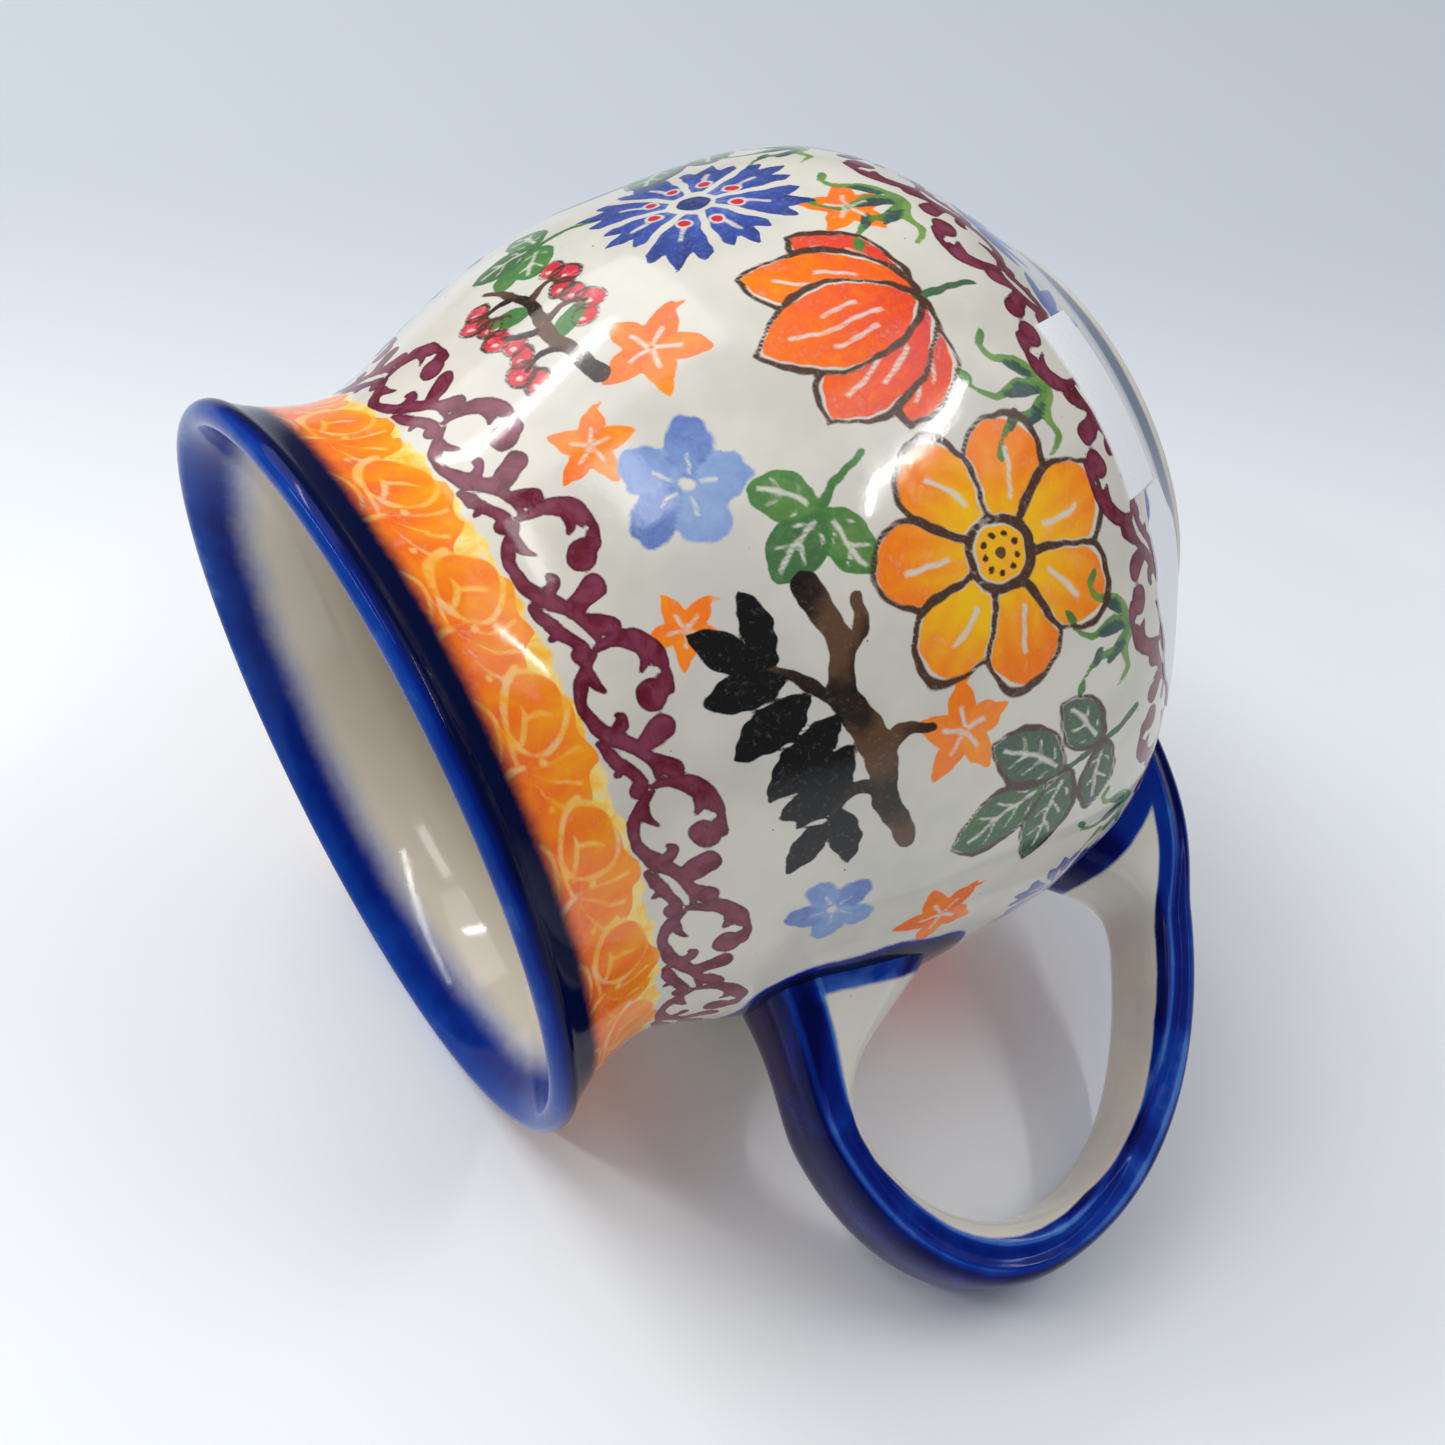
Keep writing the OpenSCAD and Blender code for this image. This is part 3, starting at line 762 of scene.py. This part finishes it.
# turn round the mug in degrees, height in millimetres, size and tilt of each flower, and what else it takes
flowers = {
    roundBloom: (
        (-110, 38, 1.0, 10, 7, 0.02, 0.45), (8, 38, 1.0, -8, 8, 0.05, 0.5),
        (122, 38, 1.02, 5, 7, 0.02, 0.42)),
    tulip: ((-77, 39.5, 0.92, -4), (42, 39.5, 0.95, 6), (156, 39, 0.9, -6)),
    leafSpray: ((-142, 38.5, 0.94, 8, 0.8), (-24, 38.5, 0.95, -6, 0.7), (90, 39, 0.95, 4, 0.85)),
    cornflower: ((-47, 43, 1.12, 0, 0.55), (66, 61, 0.9, 0, 0.5), (-172, 33, 0.8, 0, 0.5)),
    paleBloom: ((-86, 65.5, 0.86, 15), (-148, 66, 0.6, 0), (22, 65, 0.8, 0), (104, 64, 0.84, 0)),
    darkBough: ((-120, 62, 0.92, -84), (132, 63, 0.9, 96), (-2, 63, 0.86, -96)),
    berryTwig: ((-52, 66, 0.78, -12), (45, 65, 0.76, 8)),
    leafTrio: (
        (-97, 55.5, 0.95, 30, 0.5), (-36, 60, 0.9, -20, 0.55), (80, 60, 0.95, 10, 0.5),
        (154, 64, 0.85, -15, 0.5)),
    starFlower: (
        (-68, 60, 1.05, 20, 0.5), (-128, 48.5, 1.0, 60, 0.42), (-157, 53, 0.95, 15, 0.5),
        (-60, 30, 0.9, -20, 0.5), (28, 54, 1.0, 30, 0.5), (74, 49, 1.0, -10, 0.45), (110, 55, 1.0, 20, 0.5),
        (-14, 52, 1.0, 0, 0.5), (-75, 71, 0.8, 40, 0.46), (58, 73, 0.8, -25, 0.5), (-102, 72, 0.7, 10, 0.44)),
}
sprigTurns = (-94, -126, -61, -158, -8, 25, 58, 74, 106, 140, 172, -38)


def meadow():
    for flower, places in flowers.items():
        for place in places:
            flower(*place)
    for turn in sprigTurns:
        sprig(turn, 27.5, 0.74 + 0.08 * math.sin(turn), 8 * math.sin(turn * 1.7))


meadow()
print("flowers painted")


# heights between which the strap's two roots meet the wall
roots = {"upperTop": 71.9, "upperBottom": 48.5, "lowerTop": 31.0, "lowerBottom": 8.4}

# the poured lip and the lines round the handle's joints, each an oval with its half width
cobalt = {
    "collarFrom": 94.1, "insideFade": 8.2, "lineWidth": 2.9, "ovalPower": 2.4,
    "ovals": ((roots["upperBottom"], roots["upperTop"], 14.0),
              (roots["lowerBottom"], roots["lowerTop"], 11.4)),
}


def paintCobalt():
    lipTop = climbOfRow[firstInside - 4]
    paint["collar"][:] = climbAt(cobalt["collarFrom"]) - climbOf
    paint["mouth"][:] = climbOf - lipTop
    across = wrap(turnOf - math.pi) * radiusOf
    wave = 0.35 * np.sin(across * 0.5) + 0.3 * np.sin(climbOf * 0.6 + across * 0.2)
    near = (climbOf < climbAt(92)) & onWall
    power = cobalt["ovalPower"]
    for low, high, half in cobalt["ovals"]:
        bottom, top = climbAt(low), climbAt(high)
        mid, tall = (bottom + top) / 2, (top - bottom) / 2
        u, v = np.abs(across) / half, np.abs(climbOf - mid) / tall
        d = ((u ** power + v ** power) ** (1 / power) - 1) * np.minimum(half, tall)
        brush("joint", near, (d - cobalt["lineWidth"] + wave)[near])


paintCobalt()


# every colour of the glazes, paints, bare clay and paper
tints = {name: tuple(linear(level) for level in levels) for name, levels in {
    "cream": (221, 216, 204), "creamShade": (206, 202, 192), "insideCream": (222, 210, 190),
    "speck": (96, 84, 66),
    "ground": (253, 188, 52), "groundPale": (255, 222, 130), "bloomPale": (255, 214, 160),
    "yellow": (253, 196, 28), "amber": (254, 158, 30), "orange": (252, 122, 26), "tomato": (238, 80, 40),
    "crimson": (208, 44, 66), "pink": (226, 92, 116),
    "grass": (122, 156, 76), "green": (66, 124, 58), "deepGreen": (62, 92, 66), "teal": (40, 74, 76),
    "paleBlue": (146, 172, 214), "midBlue": (124, 152, 206), "royal": (44, 76, 166), "navy": (14, 24, 84),
    "brown": (98, 70, 50), "darkBrown": (48, 34, 26), "black": (16, 15, 16), "line": (80, 54, 42),
    "plum": (100, 12, 36), "plumPale": (132, 58, 82), "plumDeep": (64, 10, 30),
    "lipThin": (70, 112, 184), "lipBright": (14, 62, 152), "lipBlue": (5, 30, 118), "lipDark": (3, 12, 52),
    "cobaltDeep": (4, 9, 42), "cobaltMid": (6, 22, 92), "cobalt": (10, 34, 140), "cobaltThin": (74, 104, 188),
    "stripeEdge": (120, 146, 190), "stripe": (26, 42, 84),
    "strapDeep": (3, 10, 72), "strapBlue": (6, 24, 110), "strapBright": (14, 54, 150),
    # the palest strap blue is thin glaze, and also the painted highlight on the ridges beside the groove
    "strapThinAndSheen": (72, 114, 186),
    "clay": (216, 208, 192), "clayShade": (190, 180, 160),
    "pricePaper": (251, 251, 253), "priceShade": (240, 243, 248),
    "ovalPaper": (250, 250, 252), "ovalShade": (234, 238, 245),
}.items()}

# the foot stripe's heights and the glaze's own gloss
glaze = {
    "stripeHeight": 3.7, "stripeEdgeHeight": 4.4,
    "rough": 0.1, "bend": 1.52, "clearMirror": 0.5, "cobaltMirror": 0.09,
}


def glazeCoat(start, where):
    # cream glaze with faint clouds and tiny iron specks
    base = noise(start, where, 0.06, 3, 0.6).over(0.35, 0.68).between(tints["cream"], tints["creamShade"])
    cells = {"Vector": where, "Scale": 0.42}
    far = start.node("ShaderNodeTexVoronoi", (), cells, 0)
    chance = start.node("ShaderNodeTexVoronoi", (), cells, 1)
    pick = start.node("ShaderNodeSeparateColor", (), {"Color": chance})
    size = pick.over(0.35, 1.0, 0.0, 0.07)
    return base.mix(tints["speck"], (size - far).over(-0.01, 0.02, 0.0, 0.8))


def glazeSurface(start, colour, where, cobaltPart):
    # cobalt mirrors the room more faintly than the clear glaze does
    g = glaze
    height = noise(start, where, 1.7, 2, 0.6) * 0.5 + noise(start, where, 0.22, 1, 0.5)
    bump = bumpy(start, height, 0.22, 0.00006)
    rough = noise(start, where, 0.4, 2).over(0.3, 0.7, g["rough"] * 0.75, g["rough"] * 1.3)
    inputs = {"Base Color": colour, "Roughness": rough, "Normal": bump, "IOR": g["bend"]}
    clear, deep = (start.node("ShaderNodeBsdfPrincipled", (), {**inputs, "Specular IOR Level": mirror})
                   for mirror in (g["clearMirror"], g["cobaltMirror"]))
    surface(start, start.node("ShaderNodeMixShader", (), {0: cobaltPart, 1: clear, 2: deep}))


def paintedGlaze():
    finish, start = newFinish("paintedGlaze")
    where = millimetres(start)
    fray = noise(start, where, 0.9, 3, 0.65) - 0.5
    wash = noise(start, where, 0.34, 4, 0.62, 0.6)
    grain = noise(start, where, 1.6, 3, 0.7)
    thin = noise(start, where, 0.12, 3, 0.6)
    collar, mouth = field(start, "collar"), field(start, "mouth")
    t = tints

    def cover(name, soft=0.11, torn=0.3):
        return (field(start, name) + fray * torn).over(soft, -soft)

    def toned(name, sway):
        # the tone laid by the brush, drifting with the wash
        return field(start, name) + (wash - 0.5) * sway

    colour = glazeCoat(start, where).mix(t["insideCream"], mouth.over(-1.0, 4.0, 0.0, 0.9))
    groundTint = wash.ramp((0.36, t["ground"]), (0.56, t["groundPale"]), (0.72, t["cream"]))
    colour = colour.mix(groundTint, cover("ground", 0.3, 0.8))
    warmTint = (toned("warmth", 0.5) + (grain - 0.5) * 0.16).ramp(
        (0.0, t["yellow"]), (0.28, t["amber"]), (0.5, t["orange"]), (0.68, t["tomato"]),
        (0.84, t["crimson"]), (1.0, t["pink"]))
    bloomTint = warmTint.mix(t["bloomPale"], (wash * 0.6 + grain * 0.4).over(0.5, 0.75, 0.0, 0.35))
    colour = colour.mix(bloomTint, cover("bloom"))
    leafTint = toned("leafTone", 0.5).ramp(
        (0.1, t["grass"]), (0.45, t["green"]), (0.8, t["deepGreen"]), (1.0, t["teal"]))
    colour = colour.mix(leafTint, cover("leaf") * grain.over(0.2, 0.55, 0.88, 0.98))
    blueTint = toned("blueTone", 0.4).ramp(
        (0.0, t["paleBlue"]), (0.2, t["midBlue"]), (0.5, t["royal"]), (1.0, t["navy"]))
    colour = colour.mix(blueTint, cover("blue") * grain.over(0.2, 0.55, 0.84, 0.97))
    # pale lines left between the brush strokes
    below = collar.over(9.5, 10.5)
    foldCover = (field(start, "fold") + fray * 0.24).over(0.2, -0.2)
    colour = colour.mix(groundTint.mix(t["cream"], below), foldCover * below.over(0.0, 1.0, 0.62, 0.9))
    colour = colour.mix(t["crimson"], cover("seed"))
    twigTint = toned("twigTone", 0.7).ramp((0.2, t["brown"]), (0.55, t["darkBrown"]), (0.8, t["black"]))
    colour = colour.mix(twigTint, cover("twig") * grain.over(0.3, 0.45, 0.94, 1.0))
    lineCover = (field(start, "edge") + fray * 0.16).over(0.14, -0.14)
    colour = colour.mix(t["line"], lineCover * grain.over(0.25, 0.5, 0.86, 1.0))
    plumTint = wash.over(0.32, 0.66).between(t["plum"], t["plumPale"])
    plumTint = plumTint.mix(t["plumDeep"], field(start, "plum").over(-0.55, -0.05, 0.0, 0.5))
    colour = colour.mix(plumTint, cover("plum"))
    # cobalt poured over the lip: near black low on the outside, royal at the crest, fading out inside
    depth = mouth.over(-1.4, -3.8) * 0.8 + mouth.over(1.0, 4.0, 0.0, 0.2) - mouth.over(5.0, 10.0, 0.0, 0.5)
    lipTint = (depth + thin * 0.4 - 0.04).ramp(
        (0.0, t["lipThin"]), (0.14, t["lipBright"]), (0.4, t["lipBlue"]), (0.85, t["lipDark"]))
    fade = (mouth + thin * 2.0 + fray * 0.8).over(cobalt["insideFade"] + 3.6, cobalt["insideFade"] - 2.4)
    poured = (collar + fray * 0.8 + thin).over(1.5, -1.2) * fade
    colour = colour.mix(lipTint, poured)
    joint = field(start, "joint") + fray * 0.5
    ring = joint.over(0.35, -0.4)
    ringTint = joint.over(-2.4, 0.2).ramp(
        (0.0, t["cobaltDeep"]), (0.5, t["cobaltMid"]), (0.9, t["cobalt"]), (1.0, t["cobaltThin"]))
    colour = colour.mix(ringTint, ring)
    # the stripe just over the foot
    height = start.node("ShaderNodeSeparateXYZ", (), {"Vector": where}, 2)
    stripe = abs(height + fray * 0.4 - glaze["stripeHeight"]).over(2.5, 1.5)
    edge = abs(height + fray * 0.6 - glaze["stripeEdgeHeight"]).over(3.4, 1.4, 0.0, 0.75)
    colour = colour.mix(t["stripeEdge"], edge).mix(t["stripe"], stripe * 0.95)
    glazeSurface(start, colour, where, poured + ring + stripe)
    return finish


def rawFoot():
    finish, start = newFinish("rawFoot")
    grit = noise(start, millimetres(start), 2.2, 4, 0.7)
    colour = grit.over(0.35, 0.7).between(tints["clay"], tints["clayShade"])
    dullSurface(start, colour, grit.over(0.2, 0.8, 0.6, 0.85), bumpy(start, grit, 0.4, 0.0001))
    return finish


for paintName, values in paint.items():
    storeField(bodyMesh, paintName, values)
bodyMesh.materials.append(paintedGlaze())
bodyMesh.materials.append(rawFoot())
# the bare clay of the ring that the mug stands on
footFaces = np.zeros(len(bodyMesh.polygons), np.int32)
onFoot = (rows[:-1, 1] < 0.3) & (rows[:-1, 0] > 20) & (np.arange(len(rows) - 1) < firstPainted)
footFaces[:(len(rows) - 1) * sides] = np.repeat(onFoot.astype(np.int32), sides)
bodyMesh.polygons.foreach_set("material_index", footFaces)
mug = addObject("mugBody", bodyMesh)
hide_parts("mug_body")
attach(mug, "root")
print("body finished")


# the strap's width along the bow and at its roots, its section, groove and cobalt coat;
# a split is how far along its first or last curve a slip joint ends
strap = {
    "width": 17.0, "upperWidth": 27.0, "lowerWidth": 23.0, "flare": 3.2, "power": 3.2, "sink": 2.4,
    "groove": 0.6, "grooveWidth": 1.0, "grooveFrom": 3.5,
    "paintDepth": 5.4, "upperRing": 0.6, "lowerRing": 2.3,
    "upperSplit": 0.246, "lowerSplit": 0.751, "sides": 160, "step": 0.5,
}


def strapCurve(top, points, bottom):
    # four curves end to end, from the wall at one height to the wall at another
    ends = [(wallRadius(height) - strap["sink"], height) for height in (top, bottom)]
    chain = [ends[0], *points, ends[1]]
    return [chain[k:k + 4] for k in range(0, 12, 3)]


strapOuter = strapCurve(roots["upperTop"], [
    (55.3, 72.3), (59.3, 74.9), (64.9, 74.9), (80.38, 74.9), (90.7, 67.3), (90.7, 55.9),
    (90.7, 36.1), (73.6, 22.9), (62.2, 17.1), (56.9, 14.1), (53.0, 8.4)], roots["lowerBottom"])
strapInner = strapCurve(roots["upperBottom"], [
    (56.0, 57.5), (55.3, 68.8), (65.6, 69.0), (76.09, 69.0), (84.0, 61.3), (84.0, 51.9),
    (84.0, 39.7), (75.0, 31.8), (62.6, 24.7), (57.5, 22.5), (56.4, 23.8)], roots["lowerTop"])


def strapSection(w, h):
    # a rounded oblong in even steps round it, as its half height and half width at each
    turn = np.linspace(0, 2 * math.pi, 1441)
    fu, fv = (half * np.sign(f) * np.abs(f) ** (2 / strap["power"])
              for half, f in ((w, np.cos(turn)), (h, np.sin(turn))))
    run = np.r_[0, np.cumsum(np.hypot(np.diff(fu), np.diff(fv)))]
    at = np.linspace(0, 2 * math.pi, strap["sides"], endpoint=False) / (2 * math.pi) * run[-1]
    return np.interp(at, run, fv), np.interp(at, run, fu)


def strapRing(k, t):
    p = strap
    o, i = bend(strapOuter[k], t), bend(strapInner[k], t)
    c, h = (o + i) / 2, np.linalg.norm(o - i) / 2
    n = (o - i) / (2 * h)
    w = p["width"] / 2
    if k == 0:
        w += (p["upperWidth"] - p["width"]) / 2 * (1 - t) ** p["flare"]
    if k == 3:
        w += (p["lowerWidth"] - p["width"]) / 2 * t ** p["flare"]
    v, u = strapSection(w, h)
    q = c + v[:, None] * n
    # a finger-drawn groove runs along each flank
    g = p["groove"] * np.exp(-((h - v - p["grooveFrom"]) / p["grooveWidth"]) ** 2)
    g = g * np.clip(u / (0.6 * w), -1, 1)
    # the cobalt ends part way down the flank, wraps further round below the bow, and rings each joint
    lower = float(np.clip((k + t - 1.5) / 0.8, 0, 1))
    limit = min(p["paintDepth"] + 2.8 * lower, 2 * h - 0.9 + 1.8 * lower)
    coat = h - v - limit + np.where(v < 0, 0.8 * (w - np.abs(u)), 0)
    gap = q[:, 0] - wallRadius(q[:, 1])
    ring = p["upperRing"] if k == 0 else p["lowerRing"]
    coat = np.minimum(coat, np.where(k in (0, 3), gap - ring, 9.0))
    return np.column_stack([-q[:, 0], u - g, q[:, 1], coat, np.abs(u) / w, h - v])


def strapGrid():
    # every ring of the strap, with one exactly where each joint ends
    p = strap
    rings, marks = [], []
    for k, first, last in ((0, 0.0, p["upperSplit"]), (0, p["upperSplit"], 1.0), (1, 0.0, 1.0), (2, 0.0, 1.0),
                           (3, 0.0, p["lowerSplit"]), (3, p["lowerSplit"], 1.0)):
        length = runAlong(bend(strapOuter[k], np.linspace(first, last, 40)))[-1]
        marks.append(len(rings))
        parts = max(4, int(length / p["step"]))
        rings += [strapRing(k, t) for t in np.linspace(first, last, parts, endpoint=False)]
    rings.append(strapRing(3, 1.0))
    grid = np.array(rings)
    along = np.gradient(grid[..., :3], axis=0)
    around = np.roll(grid[..., :3], -1, axis=1) - np.roll(grid[..., :3], 1, axis=1)
    normals = np.cross(along, around)
    normals /= np.linalg.norm(normals, axis=-1, keepdims=True)
    # normals point away from the strap's middle line
    if ((grid[..., :3] - grid[..., :3].mean(1, keepdims=True)) * normals).sum() < 0:
        normals = -normals
    return grid, normals, (0, marks[1], marks[5], len(rings) - 1)


def strapMesh(name, grid, normals):
    m, n = grid.shape[:2]
    i, j = np.meshgrid(np.arange(m - 1), np.arange(n), indexing="ij")
    k = (j + 1) % n
    faces = np.stack([i * n + j, (i + 1) * n + j, (i + 1) * n + k, i * n + k], -1).reshape(-1, 4).tolist()
    caps = [list(range(n)), list(range((m - 1) * n, m * n))[::-1]]
    mesh = bpy.data.meshes.new(name)
    mesh.from_pydata(grid[..., :3].reshape(-1, 3) * mm, [], faces + caps)
    mesh.polygons.foreach_set("use_smooth", [True] * len(mesh.polygons))
    run = np.r_[0, np.cumsum(np.linalg.norm(np.diff(grid[..., :3].mean(1), axis=0), axis=1))]
    run = 0.02 + 0.9 * run / run[-1]
    turn = np.linspace(0, 2 * math.pi, n, endpoint=False)
    capU, capV = 0.05 + 0.03 * np.cos(turn), 0.96 + 0.03 * np.sin(turn)
    left, right = j / n, (j + 1) / n
    storeSheet(mesh, [np.stack([left, left, right, right], -1).reshape(-1), capU, capU[::-1] + 0.2],
               [np.stack([run[i], run[i + 1], run[i + 1], run[i]], -1).reshape(-1), capV, capV[::-1]])
    for k, name in enumerate(("coat", "across", "depth")):
        storeField(mesh, name, grid[..., 3 + k])
    mesh.normals_split_custom_set_from_vertices(normals.reshape(-1, 3).tolist())
    return mesh


def strapGlaze():
    finish, start = newFinish("strapGlaze")
    where = millimetres(start)
    fray = noise(start, where, 0.5, 3, 0.6) - 0.5
    drift = noise(start, where, 0.11, 3, 0.55, 0.4)
    slow = noise(start, where, 0.1, 2) - 0.5
    coat = field(start, "coat") + slow * 0.9 + fray * 0.3
    # the glaze is deep in the groove and thin at the strap's own edges; the pale lines on both edges of the
    # groove are thin glaze and also a painted highlight on the ridges
    offGroove = abs(field(start, "depth") - strap["grooveFrom"])
    thin = drift.over(0.45, 0.75) * 0.4 + field(start, "across").over(0.93, 0.995, 0.0, 0.42)
    thin = thin + coat.over(-1.0, 0.1, 0.0, 0.2) + (noise(start, where, 1.2, 2) - 0.5) * 0.12
    # painted highlight: the last term lightens two lines along the ridges beside the groove, on top of the
    # thin glaze; the term before it darkens the glaze pooled in the groove
    thin = thin + offGroove.over(1.5, 0.6, 0.0, -0.14) + abs(offGroove - 1.7).over(0.6, 0.12, 0.0, 0.36)
    blue = thin.ramp((0.0, tints["strapDeep"]), (0.25, tints["strapBlue"]),
                     (0.6, tints["strapBright"]), (1.0, tints["strapThinAndSheen"]))
    cobaltPart = coat.over(0.3, -0.3)
    glazeSurface(start, glazeCoat(start, where).mix(blue, cobaltPart), where, cobaltPart)
    return finish


strapFinish = strapGlaze()
strapPoints, strapNormals, strapEnds = strapGrid()
strapPieces = (("upperSlip", "upper_joint"), ("handleStrap", "handle"), ("lowerSlip", "lower_joint"))
for (pieceName, node), first, last in zip(strapPieces, strapEnds[:-1], strapEnds[1:]):
    mesh = strapMesh(pieceName, strapPoints[first:last + 1], strapNormals[first:last + 1])
    mesh.materials.append(strapFinish)
    piece = addObject(pieceName, mesh)
    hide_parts(node)
    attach(piece, "root")
print("handle pulled and joined")


def labelPaper(name, tint, shade):
    # blank paper with fine fibre and a soft crease
    finish, start = newFinish(name)
    where = millimetres(start)
    fibre = noise(start, where, 3.0, 4, 0.7)
    crease = noise(start, where, 0.12, 2, 0.5)
    colour = fibre.over(0.3, 0.75).between(tint, shade)
    bump = bumpy(start, fibre * 0.15 + crease, 0.35, 0.00015)
    dullSurface(start, colour, fibre.over(0.2, 0.8, 0.42, 0.6), bump)
    return finish


for kind in ("price", "oval"):
    node = kind + "_label"
    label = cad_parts[node]
    label.data.materials.clear()
    label.data.materials.append(labelPaper(node + "Paper", tints[kind + "Paper"], tints[kind + "Shade"]))
print("labels papered")


def makeFloor():
    middle = floorUp * stage["floorOff"]
    half = stage["floorHalf"]
    corners = [middle + half * (a * floorRight + b * floorAway)
               for a, b in ((-1, -1), (1, -1), (1, 1), (-1, 1))]
    mesh = bpy.data.meshes.new("paleFloor")
    mesh.from_pydata([tuple(c) for c in corners], [], [(0, 1, 2, 3)])
    finish, start = newFinish("paleFloor")
    place = placeOn(start)
    # painted shade: the floor turns from its near colour to the darker far colour away from the camera,
    # standing in for the light's fall-off
    away = start.node("ShaderNodeVectorMath", {"operation": "DOT_PRODUCT"},
                      {0: place, 1: tuple(floorAway)}, 1)
    cloud = noise(start, place, 3.0, 2) - 0.5
    colour = (away + cloud * 0.05).over(-0.02, 0.16).between(stage["floorColour"], stage["floorFarPaintedShade"])
    shader = start.node("ShaderNodeBsdfPrincipled", (), {"Base Color": colour, "Roughness": 0.6})
    clear = start.node("ShaderNodeBsdfTransparent")
    # seen from behind, the floor isn't there, and it lets the lamp behind it reach the mug
    back = start.node("ShaderNodeNewGeometry", out=6) + start.node("ShaderNodeLightPath", out=1)
    surface(start, start.node("ShaderNodeMixShader", (), {0: back, 1: shader, 2: clear}))
    mesh.materials.append(finish)
    addObject("paleFloor", mesh)


# where each lamp stands from the mug, the way its long side runs, width, length and glow
lamps = {
    "panelTop": ((0.498, -0.862, -0.0926), (0, 0, 1), 0.75, 0.75, 0.3),
    "panelLeft": ((0.93, -0.36, 0.12), (0, 0, 1), 0.6, 0.6, 1.85),
    "tubeLeft": ((0.90, -0.374, 0.20), (-0.28, -0.09, 0.95), 0.022, 0.32, 44.0),
    "panelRight": ((0.16, -0.80, -0.58), (0.32, -0.12, 0.21), 0.38, 0.42, 0.9),
    "panelBack": ((-0.62, 0.75, 0.22), (0, 0, 1), 0.6, 0.6, 1.7),
    "stripCrest": ((0.62, -0.45, 0.64), (-0.31, -0.53, -0.02), 0.03, 0.7, 17.0),
    "panelMouth": ((0.45, -0.84, 0.31), (0.88, 0.47, -0.05), 0.08, 0.3, 4.5),
    "tubeRight": ((0.045, -0.885, -0.46), (0.32, 0.15, -0.255), 0.018, 0.33, 40.0),
}


def makeLamp(name, toward, along, width, length, glow):
    lamp = bpy.data.lights.new(name, "AREA")
    lamp.shape, lamp.size, lamp.size_y = "RECTANGLE", width, length
    lamp.energy = glow * math.pi * width * length
    back = unit(np.array(toward, float))
    run = np.array(along, float)
    run = unit(run - (run @ back) * back)
    holder = addObject(name, lamp)
    stand(holder, np.cross(run, back), run, back, np.array(stage["lampAim"]) + back * stage["lampReach"])
    # the lamp behind the floor leaves no mirror image on the glaze
    holder.visible_glossy = name != "panelBack"


makeFloor()
for name, lamp in lamps.items():
    makeLamp(name, *lamp)
world = bpy.data.worlds.new("paleAir")
scene.world = world
world.use_nodes = True
world.node_tree.nodes.clear()
air = Wire(world.node_tree)
# the air is brighter where it is looked at, and dimmer in the glaze's mirror images
seen, mirrored = air.node("ShaderNodeLightPath", out=0), air.node("ShaderNodeLightPath", out=3)
strength = seen * (stage["beyond"] - stage["air"])
strength = strength + mirrored * (stage["airInGloss"] - stage["air"]) + stage["air"]
glow = air.node("ShaderNodeBackground", (), {"Color": stage["airColour"], "Strength": strength})
air.node("ShaderNodeOutputWorld", (), {"Surface": glow})
scene.view_settings.view_transform = "Standard"
print("stage lit")
